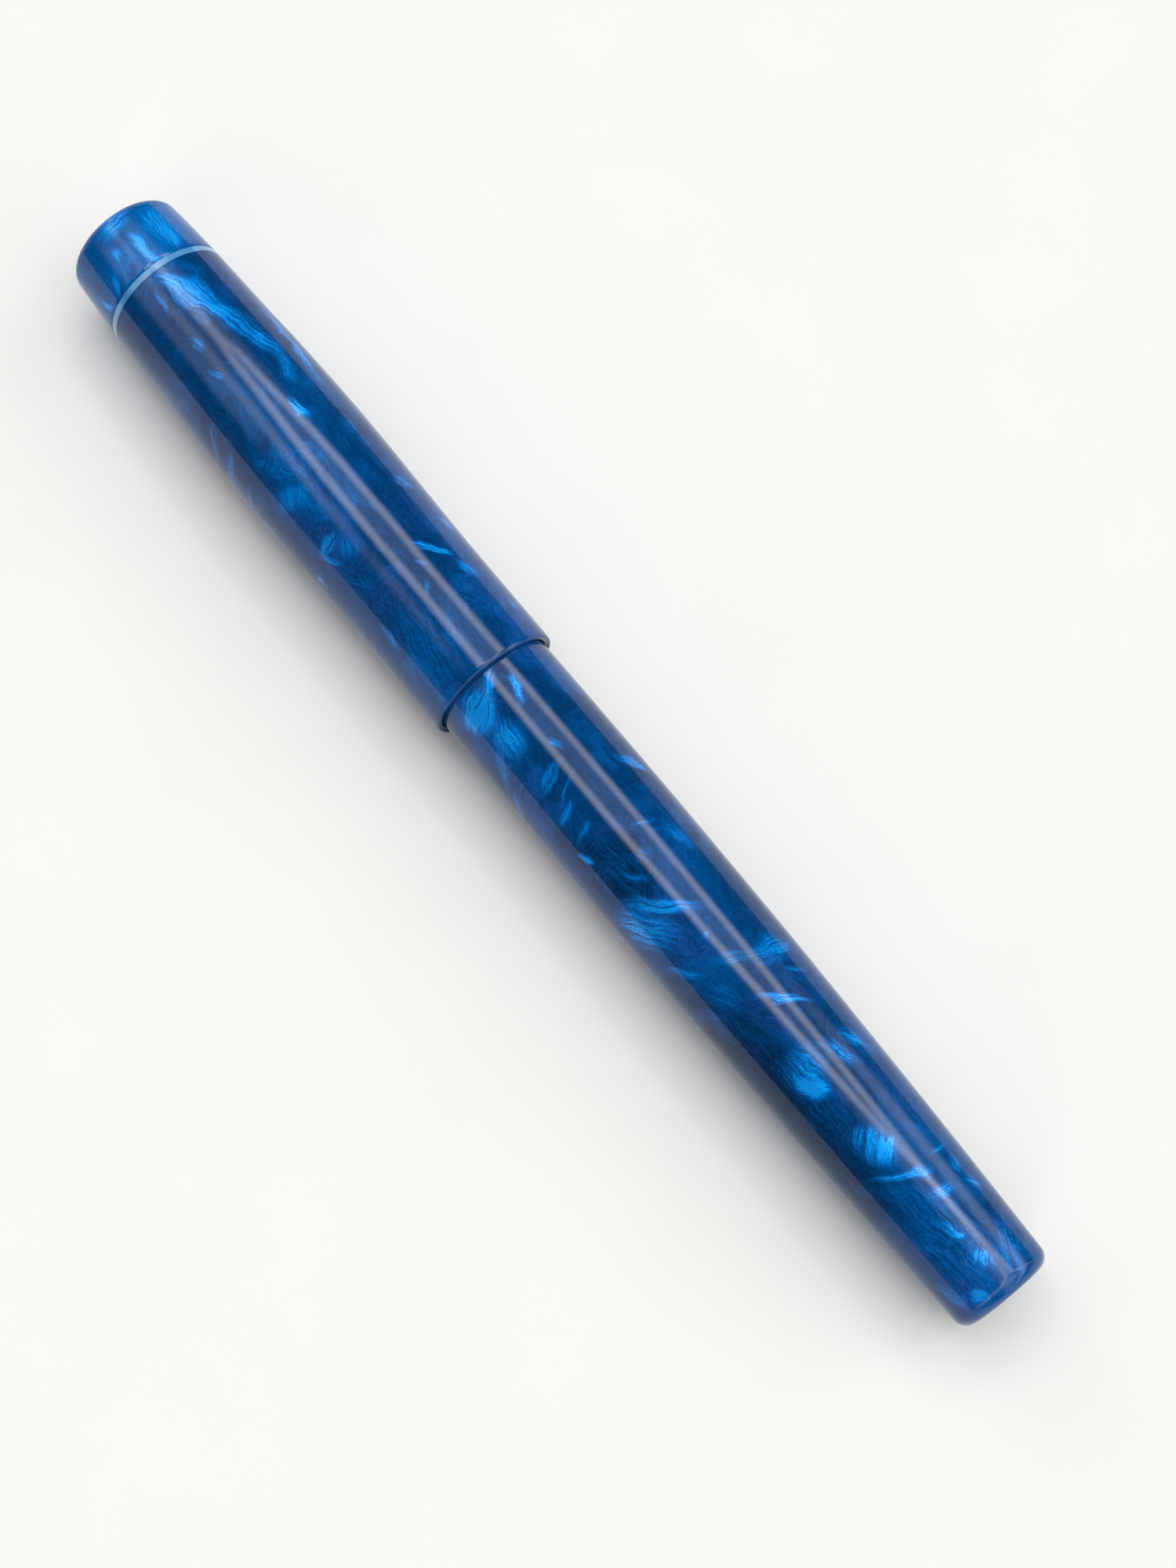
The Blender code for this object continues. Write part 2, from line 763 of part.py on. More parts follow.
def twisted_screw(name, low, high):
    """The spindle's two-start thread: a four-cornered section, twisted once for each lead."""
    shape = bmesh.new()
    count = round((high - low) / SPINDLE_LEAD * 10)
    rings = []
    for i in range(count + 1):
        station = low + (high - low) * i / count
        twist = 2 * math.pi * (station - low) / SPINDLE_LEAD
        ring = []
        for corner in range(4):
            angle = twist + corner * math.pi / 2
            radius = SPINDLE_ROOT if corner % 2 else SPINDLE_CREST
            ring.append(
                shape.verts.new(
                    Vector((radius * math.cos(angle), radius * math.sin(angle), station)) * MM
                )
            )
        rings.append(ring)
    for ring, following in zip(rings, rings[1:]):
        for i in range(4):
            j = (i + 1) % 4
            shape.faces.new((ring[i], ring[j], following[j], following[i]))
    shape.faces.new(rings[0][::-1])
    shape.faces.new(rings[-1])
    mesh = bpy.data.meshes.new(name)
    shape.to_mesh(mesh)
    shape.free()
    return add_object(name, mesh)


def make_spindle(material):
    back, front = COLLAR_STATIONS
    profile = [
        (0, front),
        (COLLAR_RADIUS, front),
        (COLLAR_RADIUS, back),
        (STUB_RADIUS, back),
        (STUB_RADIUS, STUB_END),
        (0, STUB_END),
    ]
    spindle = turned("piston_spindle", profile, material, SMALL_ROUND)
    combine(spindle, "UNION", twisted_screw("spindle_thread", front - 0.5, SPINDLE_TIP))


def make_knob(material):
    profile = [
        (KNOB_HOLE, KNOB_FRONT),
        (KNOB_RADIUS - 0.2, KNOB_FRONT),
        (KNOB_RADIUS, KNOB_FRONT - 0.2),
        (KNOB_RADIUS, KNOB_BACK + 0.5),
        (KNOB_RADIUS - 0.5, KNOB_BACK),
        (0, KNOB_BACK),
        (0, STUB_END - FACE_GAP),
        (KNOB_HOLE, STUB_END - FACE_GAP),
    ]
    knob = turned("converter_knob", profile, material, SMALL_ROUND)
    middle = (KNOB_FRONT + KNOB_BACK) / 2
    shape = bmesh.new()
    for number in range(KNOB_FLUTES):
        turn = Matrix.Rotation(2 * math.pi * (number + 0.5) / KNOB_FLUTES, 4, "Z")
        place = Matrix.Translation(Vector((KNOB_RADIUS, 0, middle)) * MM)
        size = Matrix.Diagonal((*(Vector((0.5, 0.45, 8.0)) * MM), 1))
        bmesh.ops.create_cube(shape, size=1, matrix=turn @ place @ size)
    mesh = bpy.data.meshes.new("knob_flutes")
    shape.to_mesh(mesh)
    shape.free()
    combine(knob, "DIFFERENCE", add_object("knob_flutes", mesh))


clear_scene()
pieces = add_collection("fountain_pen")
helpers = add_collection("cutters_and_ridges")
pen_axis = add_axis(pieces)

resin = make_material("blue_resin", (0.004, 0.045, 0.16), 0.12, coat=1.0)
ring_resin = make_material("pale_blue_resin", (0.20, 0.46, 0.62), 0.18, transmission=0.3, coat=1.0)
liner_plastic = make_material("inner_cap_plastic", (0.015, 0.016, 0.018), 0.4)
black_plastic = make_material("black_plastic", (0.008, 0.008, 0.009), 0.35)
brass = make_material("bush_brass", (0.80, 0.60, 0.28), 0.3, metallic=1.0)
rubber = make_material("seal_rubber", (0.02, 0.02, 0.02), 0.7)
nib_steel = make_material("nib_steel", (0.78, 0.78, 0.79), 0.16, metallic=1.0)
tip_alloy = make_material("tipping_alloy", (0.68, 0.68, 0.70), 0.25, metallic=1.0)
clear_plastic = make_material("clear_plastic", (0.92, 0.95, 0.97), 0.05, transmission=0.95)
chrome = make_material("ferrule_chrome", (0.80, 0.81, 0.83), 0.12, metallic=1.0)

make_cap_body(resin)
make_accent_ring(ring_resin)
make_finial(resin)
make_inner_cap(liner_plastic)
make_barrel(resin)
make_thread_bush(brass)
make_o_ring(rubber)
make_grip_section(resin)
make_nib_housing(black_plastic)
make_feed(black_plastic)
make_nib(nib_steel)
make_tipping(tip_alloy)
make_converter_tube(clear_plastic)
make_ferrule(chrome)
make_rod_guide(black_plastic)
make_piston_rod(black_plastic)
make_piston_head(black_plastic)
make_piston_seal(rubber)
make_spindle(black_plastic)
make_knob(black_plastic)
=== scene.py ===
"""Looks of the clipless fountain pen: turned resin cap and barrel, steel nib and piston converter.

Lengths in the profiles are millimetres. A station is a place along the pen's axis, growing
towards the cap's top, and an angle is measured round the axis from straight up towards +Y.
"""

import math
from collections import namedtuple

import bmesh
import bpy
from mathutils import Matrix, Vector


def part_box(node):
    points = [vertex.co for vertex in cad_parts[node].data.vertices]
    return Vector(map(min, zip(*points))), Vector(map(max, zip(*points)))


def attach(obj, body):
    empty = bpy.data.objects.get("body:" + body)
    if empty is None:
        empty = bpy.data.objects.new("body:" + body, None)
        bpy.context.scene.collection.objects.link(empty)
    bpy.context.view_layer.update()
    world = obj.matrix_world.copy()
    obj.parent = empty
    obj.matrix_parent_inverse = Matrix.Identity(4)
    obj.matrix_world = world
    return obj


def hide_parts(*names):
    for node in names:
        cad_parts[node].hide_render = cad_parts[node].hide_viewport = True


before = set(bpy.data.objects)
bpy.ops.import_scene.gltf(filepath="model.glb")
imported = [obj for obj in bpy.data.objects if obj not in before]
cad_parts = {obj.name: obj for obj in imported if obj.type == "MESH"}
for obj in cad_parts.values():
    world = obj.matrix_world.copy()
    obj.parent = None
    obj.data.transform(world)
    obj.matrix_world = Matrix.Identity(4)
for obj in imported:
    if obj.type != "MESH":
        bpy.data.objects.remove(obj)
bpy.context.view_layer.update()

MM = 0.001


def span(node):
    """The lowest and highest station of a CAD node."""
    low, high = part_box(node)
    return low[0] / MM, high[0] / MM


BODY_LOW, BODY_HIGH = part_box("cap_body")
WIDEST = (BODY_HIGH[2] - BODY_LOW[2]) / 2 / MM
AXIS = (BODY_HIGH[2] + BODY_LOW[2]) / 2 / MM
LIP = BODY_LOW[0] / MM
CAP_TOP = span("cap_finial")[1]
RING_LOW, RING_HIGH = span("cap_accent_ring")
BARREL_END, BARREL_FRONT = span("barrel")
SEGMENTS = 144
FINE = 72

# Outlines: (distance from the cap's top, radius) and (distance behind the lip, radius)
CAP_OUTLINE = (
    (0.0, 6.55),
    (3.0, 6.80),
    (8.6, 7.10),
    (16.9, 7.37),
    (22.3, 7.61),
    (33.0, WIDEST),
    (43.6, 7.64),
    (51.4, 7.49),
    (65.6, 7.47),
)
BARREL_OUTLINE = (
    (-3.0, 6.60),
    (3.0, 6.67),
    (18.5, 6.74),
    (37.7, 6.60),
    (49.4, 6.36),
    (63.0, 6.01),
    (79.4, 5.45),
)


# ---------------------------------------------------------------- shapes


def steps(first, last, count):
    return [first + (last - first) * i / (count - 1) for i in range(count)]


def outline_radius(outline, at):
    """The radius at a distance along an outline, on a smooth curve through its points."""
    last = len(outline) - 1
    index = sum(at > point[0] for point in outline[1:-1])
    before, start = outline[max(index - 1, 0)], outline[index]
    end, after = outline[index + 1], outline[min(index + 2, last)]
    length = end[0] - start[0]
    slope_in = (end[1] - before[1]) / (end[0] - before[0])
    slope_out = (after[1] - start[1]) / (after[0] - start[0])
    u = (at - start[0]) / length
    return (
        start[1] * (1 + 2 * u) * (1 - u) ** 2
        + end[1] * u * u * (3 - 2 * u)
        + slope_in * length * u * (1 - u) ** 2
        + slope_out * length * u * u * (u - 1)
    )


def cap_radius(station):
    return outline_radius(CAP_OUTLINE, CAP_TOP - station)


def barrel_radius(station):
    return outline_radius(BARREL_OUTLINE, LIP - station)


def along(radius_at, first, last, count):
    return [(radius_at(station), station) for station in steps(first, last, count)]


def level(radius, first, last, count):
    return [(radius, station) for station in steps(first, last, count)]


def round_corner(radius, station, size, start, end, count=8):
    """Points of an arc in (radius, station), its centre given, from one angle to another."""
    angles = [math.radians(a) for a in steps(start, end, count)]
    return [(radius + size * math.cos(a), station + size * math.sin(a)) for a in angles]


def place(radius, angle, station):
    """The point at a radius and an angle round the pen's axis, in metres."""
    return Vector((station, radius * math.sin(angle), AXIS + radius * math.cos(angle))) * MM


def new_object(name, shape, sharp=35):
    bmesh.ops.recalc_face_normals(shape, faces=shape.faces)
    mesh = bpy.data.meshes.new(name)
    shape.to_mesh(mesh)
    shape.free()
    mesh.shade_smooth()
    mesh.set_sharp_from_angle(angle=math.radians(sharp))
    obj = bpy.data.objects.new(name, mesh)
    bpy.context.scene.collection.objects.link(obj)
    return obj


# The wall's radius, the stations between which it is cut, lead, number of starts, and ridge height
Thread = namedtuple("Thread", "wall first last lead starts depth")
THREAD_FADE = 0.5


def thread_rise(thread, radius, angle, station):
    """How far a thread lifts the wall it is cut on: a rounded ridge that fades in and out."""
    if abs(radius - thread.wall) > 0.001 or not thread.first < station < thread.last:
        return 0
    fade = min(1, (station - thread.first) / THREAD_FADE, (thread.last - station) / THREAD_FADE)
    turns = thread.starts * (station / thread.lead + angle / (2 * math.pi))
    return thread.depth * fade * (0.5 + 0.5 * math.cos(2 * math.pi * turns)) ** 0.8


def lathe(name, profile, segments=SEGMENTS, threads=(), sharp=35):
    """A turned solid. The profile goes round a closed section, or from the axis to the axis."""
    shape = bmesh.new()
    rings = []
    for radius, station in profile:
        if radius == 0:
            rings.append([shape.verts.new(place(0, 0, station))])
            continue
        ring = []
        for angle in steps(0, 2 * math.pi, segments + 1)[:-1]:
            lift = sum(thread_rise(thread, radius, angle, station) for thread in threads)
            ring.append(shape.verts.new(place(radius + lift, angle, station)))
        rings.append(ring)
    pairs = list(zip(rings, rings[1:]))
    if profile[0][0] > 0:
        pairs.append((rings[-1], rings[0]))
    for ring, other in pairs:
        if len(ring) == len(other) == 1:
            continue
        for i in range(segments):
            j = (i + 1) % segments
            if len(ring) == 1:
                shape.faces.new((ring[0], other[j], other[i]))
            elif len(other) == 1:
                shape.faces.new((ring[i], ring[j], other[0]))
            else:
                shape.faces.new((ring[i], ring[j], other[j], other[i]))
    return new_object(name, shape, sharp)


# ---------------------------------------------------------------- materials


class Nodes:
    """Short calls for building a node tree."""

    def __init__(self, tree):
        self.tree = tree

    def put(self, socket, value):
        if isinstance(value, bpy.types.NodeSocket):
            self.tree.links.new(value, socket)
        else:
            socket.default_value = value

    def math(self, operation, a, b=0.0, c=0.0):
        node = self.tree.nodes.new("ShaderNodeMath")
        node.operation = operation
        for socket, value in zip(node.inputs, (a, b, c)):
            self.put(socket, value)
        return node.outputs[0]

    def vector(self, operation, a, b=(0.0, 0.0, 0.0), c=(0.0, 0.0, 0.0), scale=1.0):
        node = self.tree.nodes.new("ShaderNodeVectorMath")
        node.operation = operation
        for socket, value in zip(node.inputs, (a, b, c)):
            self.put(socket, value)
        if operation == "SCALE":
            self.put(node.inputs["Scale"], scale)
        return node.outputs["Value" if operation == "LENGTH" else "Vector"]

    def parts(self, vector):
        node = self.tree.nodes.new("ShaderNodeSeparateXYZ")
        self.put(node.inputs[0], vector)
        return node.outputs

    def join(self, x, y, z=0.0):
        node = self.tree.nodes.new("ShaderNodeCombineXYZ")
        for socket, value in zip(node.inputs, (x, y, z)):
            self.put(socket, value)
        return node.outputs[0]

    def noise(self, vector, scale, detail=2.0, rough=0.5, colour=False):
        node = self.tree.nodes.new("ShaderNodeTexNoise")
        self.put(node.inputs["Vector"], vector)
        node.inputs["Scale"].default_value = scale
        node.inputs["Detail"].default_value = detail
        node.inputs["Roughness"].default_value = rough
        return node.outputs["Color" if colour else "Fac"]

    def waver(self, vector, scale, detail):
        """A vector that wanders round zero."""
        noise = self.noise(vector, scale, detail, colour=True)
        return self.vector("SUBTRACT", noise, (0.5, 0.5, 0.5))

    def band(self, value, low, high, to_low=0.0, to_high=1.0):
        """A smooth step: low becomes to_low and high becomes to_high."""
        node = self.tree.nodes.new("ShaderNodeMapRange")
        node.interpolation_type = "SMOOTHSTEP"
        for socket, number in zip(node.inputs, (value, low, high, to_low, to_high)):
            self.put(socket, number)
        return node.outputs[0]

    def ramp(self, value, stops):
        node = self.tree.nodes.new("ShaderNodeValToRGB")
        self.put(node.inputs[0], value)
        elements = node.color_ramp.elements
        while len(elements) < len(stops):
            elements.new(0.5)
        for element, (position, colour) in zip(elements, stops):
            element.position = position
            element.color = (*colour, 1)
        return node.outputs[0]

    def mix(self, amount, first, second):
        node = self.tree.nodes.new("ShaderNodeMix")
        node.data_type = "RGBA"
        sockets = [s for s in node.inputs if s.enabled]
        for socket, value in zip(sockets, (amount, first, second)):
            self.put(socket, value)
        return [s for s in node.outputs if s.enabled][0]


class Surface(Nodes):
    """The node tree of one material around its Principled shader, in millimetres."""

    def __init__(self, name):
        self.material = bpy.data.materials.new(name)
        self.material.use_nodes = True
        super().__init__(self.material.node_tree)
        self.shader = self.tree.nodes["Principled BSDF"]
        coordinates = self.tree.nodes.new("ShaderNodeTexCoord")
        self.point = self.vector("SCALE", coordinates.outputs["Object"], scale=1 / MM)

    def set(self, **values):
        for name, value in values.items():
            self.put(self.shader.inputs[name.replace("_", " ")], value)

    def bump(self, height, distance, strength=1.0):
        node = self.tree.nodes.new("ShaderNodeBump")
        node.inputs["Strength"].default_value = strength
        node.inputs["Distance"].default_value = distance * MM
        self.put(node.inputs["Height"], height)
        self.put(self.shader.inputs["Normal"], node.outputs[0])


UNROLLED_RADIUS = 7.2
MIDNIGHT = (0.0002, 0.016, 0.058)
NAVY = (0.0003, 0.040, 0.148)
ROYAL = (0.0004, 0.080, 0.290)
AZURE = (0.0005, 0.178, 0.580)
SKY = (0.0060, 0.330, 0.930)
VIOLET = (0.040, 0.070, 0.420)

# Swirls of pearl in the resin: from (station, angle) to (station, angle), width and strength
FINIAL_SWIRLS = (
    (71.5, -30, 64.5, -24, 2.4, 0.55),
    (69.0, 2, 63.8, -4, 0.7, 0.9),
    (69.0, 20, 67.0, 24, 0.9, 0.7),
    (67.8, -33, 65.0, -27, 0.6, 0.6),
    (66.8, 36, 64.2, 45, 0.7, 0.6),
    (67.0, 67, 64.5, 60, 0.8, 0.5),
    (71.5, -14, 71.0, 30, 2.0, 0.5),
)
CAP_SWIRLS = (
    (63.5, 9, 59.5, -8, 1.2, 0.8),
    (61.0, -7, 54.5, -15, 2.1, 1.0),
    (57.0, -12, 51.5, -24, 2.0, 0.95),
    (53.0, -21, 48.0, -33, 1.5, 0.75),
    (49.5, -35, 43.5, -24, 1.2, 0.6),
    (57.0, -58, 40.0, -47, 0.9, 0.55),
    (43.0, -10, 40.0, -11, 0.7, 1.0),
    (62.5, 4, 57.5, 4, 0.9, 0.6),
    (57.5, 4, 54.5, 1, 0.7, 0.6),
    (62.0, 12, 58.5, 21, 0.4, 0.7),
    (54.7, 20, 52.7, 15, 0.9, 0.5),
    (51.0, 22, 48.8, 16, 0.5, 0.6),
    (46.5, 52, 44.5, 78, 0.6, 0.6),
    (43.0, 56, 41.3, 86, 0.8, 0.5),
    (39.3, 58, 38.3, 90, 0.7, 0.5),
    (35.5, 31, 33.0, 47, 2.4, 0.35),
    (30.0, -44, 27.2, -48, 0.8, 0.5),
    (23.6, -52, 21.4, -60, 0.8, 0.6),
    (22.3, -12, 18.8, -33, 0.55, 1.1),
    (18.2, -32, 15.4, -41, 1.1, 0.55),
    (20.6, -6, 19.0, -12, 0.4, 0.4),
    (27.3, 19, 24.8, 28, 1.9, 0.35),
    (28.0, 28, 27.5, 55, 0.9, 0.9),
    (27.5, 53, 25.5, 40, 0.5, 0.7),
    (27.8, 72, 25.8, 71, 1.0, 0.6),
    (18.0, 54, 14.5, 52, 0.7, 0.35),
    (18.0, 0, 16.5, 3, 0.5, 0.4),
    (12.5, -53, 10.0, -58, 0.8, 0.4),
    (18.0, 22, 7.5, 44, 9.0, 0.22),
    (52.0, -10, 30.0, 6, 8.0, 0.10),
)
BARREL_SWIRLS = (
    (6.8, 2, 4.8, 20, 1.2, 0.8),
    (5.5, 14, 3.0, 54, 2.6, 1.0),
    (3.9, 36, 2.7, 58, 1.7, 0.9),
    (2.5, 23, -1.8, 37, 2.2, 0.6),
    (0.9, 42, -4.2, 78, 1.1, 0.5),
    (5.3, -11, 1.8, 2, 1.0, 0.7),
    (-2.4, 6, -4.6, 1, 0.7, 0.5),
    (-8.0, -34, -11.4, -60, 0.9, 0.8),
    (-14.9, 0, -15.7, -22, 0.35, 0.6),
    (-16.2, -30, -21.0, -36, 1.2, 0.5),
    (-16.7, 7, -19.0, 3, 1.4, 0.35),
    (-5.1, 8, -6.9, 43, 0.7, 0.5),
    (-7.0, 3, -8.9, 40, 0.5, 0.45),
    (-9.0, 24, -10.2, 50, 0.6, 0.7),
    (-11.7, 22, -12.8, 46, 0.45, 0.45),
    (-13.4, 53, -15.2, 41, 0.5, 0.8),
    (-18.0, 33, -20.2, 15, 0.7, 0.45),
    (-20.3, 46, -25.4, -3, 1.0, 0.9),
    (-20.5, 69, -26.6, 25, 3.0, 0.8),
    (-27.3, 9, -28.4, 13, 0.5, 0.5),
    (-33.4, -54, -32.4, -5, 2.1, 0.65),
    (-32.2, -11, -30.5, 18, 1.0, 0.5),
    (-34.8, -24, -37.0, -48, 0.5, 0.5),
    (-35.8, 12, -39.4, -29, 0.6, 0.9),
    (-32.0, 41, -36.0, 25, 2.2, 0.3),
    (-27.5, 62, -31.2, 31, 0.7, 0.4),
    (-4.0, 64, -6.4, 84, 1.2, 0.45),
    (-42.8, -26, -46.6, -47, 1.0, 0.6),
    (-42.6, -14, -47.0, -23, 1.2, 0.55),
    (-41.5, 27, -47.2, 13, 3.6, 0.6),
    (-45.2, 34, -47.1, 8, 1.8, 0.9),
    (-52.3, 1, -55.0, 27, 3.4, 0.75),
    (-54.0, -2, -55.1, 21, 1.4, 0.8),
    (-55.7, 41, -58.9, -10, 0.5, 0.6),
    (-57.7, 10, -59.1, -15, 1.0, 0.6),
    (-57.4, -16, -58.5, -42, 0.4, 0.5),
    (-59.1, -35, -60.6, -41, 1.0, 0.5),
    (-60.8, 6, -61.6, -21, 1.1, 0.6),
    (-61.6, -36, -62.6, -49, 1.0, 0.5),
    (-63.2, 15, -66.0, 6, 1.0, 0.5),
    (-64.6, 10, -65.8, 7, 0.5, 0.8),
    (-67.5, -1, -69.1, 11, 1.7, 0.6),
    (-66.0, -41, -72.0, -9, 2.4, 0.4),
    (-69.8, 40, -71.4, 26, 1.1, 0.8),
    (-66.8, 69, -71.2, 49, 1.4, 0.5),
    (-57.0, 24, -73.0, 6, 9.0, 0.26),
    (-12.0, 42, -22.0, 34, 7.0, -0.22),
    (-30.0, 66, -60.0, 58, 9.0, -0.30),
)
SECTION_SWIRLS = (
    (35.0, -40, 30.0, 20, 1.4, 0.8),
    (27.0, 30, 20.0, 80, 1.6, 0.6),
    (31.0, 100, 22.0, 140, 1.8, 0.7),
    (24.0, -110, 18.0, -60, 1.5, 0.6),
)


# Half a swirl's length, as a share of the distance between its ends
SWIRL_REACH = 0.62
# Streaks in a millimetre, along a swirl and across it, and the step that keeps swirls from matching
STREAKS_ALONG = 0.14
STREAKS_ACROSS = 3.2
SWIRL_STEP = 3.7


def resin_swirl(nodes, unrolled, swirl, number):
    """The brightness of one swirl: a soft lozenge, broken into streaks that follow its length."""
    station, angle, far_station, far_angle, width, strength = swirl
    start = Vector((station, math.radians(angle) * UNROLLED_RADIUS))
    end = Vector((far_station, math.radians(far_angle) * UNROLLED_RADIUS))
    middle, run = (start + end) / 2, end - start
    half = run.length * SWIRL_REACH
    local = nodes.tree.nodes.new("ShaderNodeMapping")
    local.vector_type = "TEXTURE"
    local.inputs["Location"].default_value = (*middle, 0)
    local.inputs["Rotation"].default_value = (0, 0, math.atan2(run.y, run.x))
    local.inputs["Scale"].default_value = (half, width, 1)
    nodes.put(local.inputs["Vector"], unrolled)
    lozenge = nodes.band(nodes.vector("LENGTH", local.outputs[0]), 1.0, 0.15)
    grain = nodes.vector(
        "MULTIPLY_ADD",
        local.outputs[0],
        (half * STREAKS_ALONG, width * STREAKS_ACROSS, 1),
        (number * SWIRL_STEP, 0, 0),
    )
    streaks = nodes.noise(grain, scale=1.0, detail=6.0, rough=0.74)
    streaks = nodes.band(streaks, 0.36, 0.60, 0.12, 1.35)
    return nodes.math("MULTIPLY", nodes.math("MULTIPLY", lozenge, streaks), strength)


def chance_pearl(nodes, curled, fibres, angle):
    """Patches of pearl that no list places: faint on the side in the photo, strong elsewhere."""
    patches = nodes.noise(nodes.vector("MULTIPLY", curled, (0.13, 0.2, 0.2)), 1, 2)
    patches = nodes.math("MULTIPLY", nodes.band(patches, 0.56, 0.7), nodes.band(fibres, 0.38, 0.66))
    away = nodes.math("ABSOLUTE", nodes.math("SUBTRACT", angle, math.radians(12)))
    hidden = nodes.band(away, math.radians(70), math.radians(115))
    return nodes.math("MULTIPLY", patches, nodes.math("MULTIPLY_ADD", hidden, 0.75, 0.15))


def pearl_specks(nodes, point):
    """Small bright specks, in some places only."""
    specks = nodes.tree.nodes.new("ShaderNodeTexVoronoi")
    nodes.put(specks.inputs["Vector"], point)
    specks.inputs["Scale"].default_value = 3.2
    speck = nodes.band(specks.outputs["Distance"], 0.16, 0.05)
    rare = nodes.band(nodes.noise(point, 0.9, 1), 0.55, 0.75)
    return nodes.math("MULTIPLY", nodes.math("MULTIPLY", speck, rare), 0.35)


def resin(name, swirls, richness):
    """Polished cast resin: deep blue with drifts, streaks and specks of pearl."""
    nodes = Surface(name)
    point = nodes.vector("SUBTRACT", nodes.point, (0, 0, AXIS))
    x, y, z = nodes.parts(point)
    angle = nodes.math("ARCTAN2", y, z)
    drift = nodes.waver(point, scale=0.33, detail=1.5)
    unrolled = nodes.join(x, nodes.math("MULTIPLY", angle, UNROLLED_RADIUS))
    unrolled = nodes.vector("MULTIPLY_ADD", drift, (1.9, 1.9, 0), unrolled)
    curled = nodes.waver(point, scale=0.07, detail=2)
    curled = nodes.vector("MULTIPLY_ADD", curled, (22, 22, 22), point)
    curled = nodes.vector("MULTIPLY_ADD", drift, (5, 5, 5), curled)
    fibres = nodes.noise(nodes.vector("MULTIPLY", curled, (0.35, 2.6, 2.6)), 1, 5, 0.6)
    cloud = nodes.noise(nodes.vector("MULTIPLY", curled, (0.10, 0.16, 0.16)), 1, 3)

    pearl = chance_pearl(nodes, curled, fibres, angle)
    for number, swirl in enumerate(swirls):
        pearl = nodes.math("ADD", pearl, resin_swirl(nodes, unrolled, swirl, number))
    flakes = nodes.band(nodes.noise(point, 5.0, 2), 0.35, 0.65, 0.75, 1.25)
    pearl = nodes.math("MULTIPLY", pearl, flakes)

    depth = nodes.math("MULTIPLY_ADD", nodes.band(cloud, 0.35, 0.7), 0.20, richness)
    depth = nodes.math("MULTIPLY_ADD", nodes.band(fibres, 0.3, 0.75), 0.14, depth)
    depth = nodes.math("ADD", depth, pearl_specks(nodes, point))
    colour = nodes.ramp(
        nodes.math("MULTIPLY_ADD", pearl, 0.88, depth),
        ((0.0, MIDNIGHT), (0.2, NAVY), (0.42, ROYAL), (0.75, AZURE), (1.0, SKY)),
    )
    haze = nodes.band(nodes.noise(curled, 0.11, 2), 0.45, 0.75, 0.0, 0.55)
    haze = nodes.math("MULTIPLY", haze, nodes.band(fibres, 0.35, 0.7))
    colour = nodes.mix(haze, colour, nodes.mix(0.5, colour, (*VIOLET, 1)))

    nodes.set(Base_Color=colour)
    nodes.set(Metallic=nodes.band(pearl, 0.2, 1.0, 0.0, 0.35))
    nodes.set(Roughness=nodes.band(fibres, 0.2, 0.8, 0.30, 0.42))
    nodes.set(Specular_IOR_Level=0.0, Coat_Weight=1.0, Coat_Roughness=0.045, Coat_IOR=1.42)
    turning = nodes.noise(nodes.vector("MULTIPLY", nodes.point, (14, 0.5, 0.5)), 1, 2)
    nodes.bump(turning, distance=0.004, strength=0.35)
    return nodes.material


def ring_resin():
    """Pale blue translucent resin with a few milky drifts."""
    nodes = Surface("pale_blue_resin")
    drift = nodes.noise(nodes.point, 0.5, 3)
    colour = nodes.ramp(drift, ((0.3, (0.045, 0.20, 0.44)), (0.7, (0.10, 0.33, 0.64))))
    nodes.set(Base_Color=colour, Roughness=0.25, Subsurface_Weight=0.3)
    nodes.set(Subsurface_Radius=(0.001, 0.0015, 0.002), Coat_Weight=1.0, Coat_Roughness=0.06)
    return nodes.material


def plastic(name, dark, light, roughness, grain=2.5):
    """Moulded plastic with a fine even grain."""
    nodes = Surface(name)
    mottle = nodes.noise(nodes.point, grain, 3)
    nodes.set(Base_Color=nodes.ramp(mottle, ((0.3, dark), (0.7, light))))
    nodes.set(Roughness=nodes.band(mottle, 0.3, 0.7, roughness - 0.05, roughness + 0.08))
    nodes.bump(nodes.noise(nodes.point, grain * 4, 2), 0.004, 0.4)
    return nodes.material


def metal(name, dark, light, roughness, brush=(1.0, 12.0, 12.0)):
    """Metal with fine lines left by polishing, drawn out along the axes where brush is smallest."""
    nodes = Surface(name)
    lines = nodes.noise(nodes.vector("MULTIPLY", nodes.point, brush), 1, 3)
    nodes.set(Base_Color=nodes.ramp(lines, ((0.3, dark), (0.7, light))), Metallic=1.0)
    nodes.set(Roughness=nodes.band(lines, 0.3, 0.7, roughness, roughness + 0.1))
    nodes.bump(lines, 0.002, 0.3)
    return nodes.material


def clear_plastic():
    nodes = Surface("clear_plastic")
    flow = nodes.noise(nodes.vector("MULTIPLY", nodes.point, (0.3, 1, 1)), 1, 2)
    nodes.set(Base_Color=nodes.ramp(flow, ((0.3, (0.86, 0.91, 0.94)), (0.7, (0.95, 0.97, 0.98)))))
    nodes.set(Roughness=nodes.band(flow, 0.3, 0.7, 0.02, 0.06), Transmission_Weight=0.96, IOR=1.49)
    return nodes.material


# ---------------------------------------------------------------- pieces


def finish_piece(obj, material, body, slot, *nodes):
    obj.data.materials.append(material)
    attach(obj, body)
    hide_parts(*nodes)


SEAM = 0.012
SEAM_DIP = 0.02

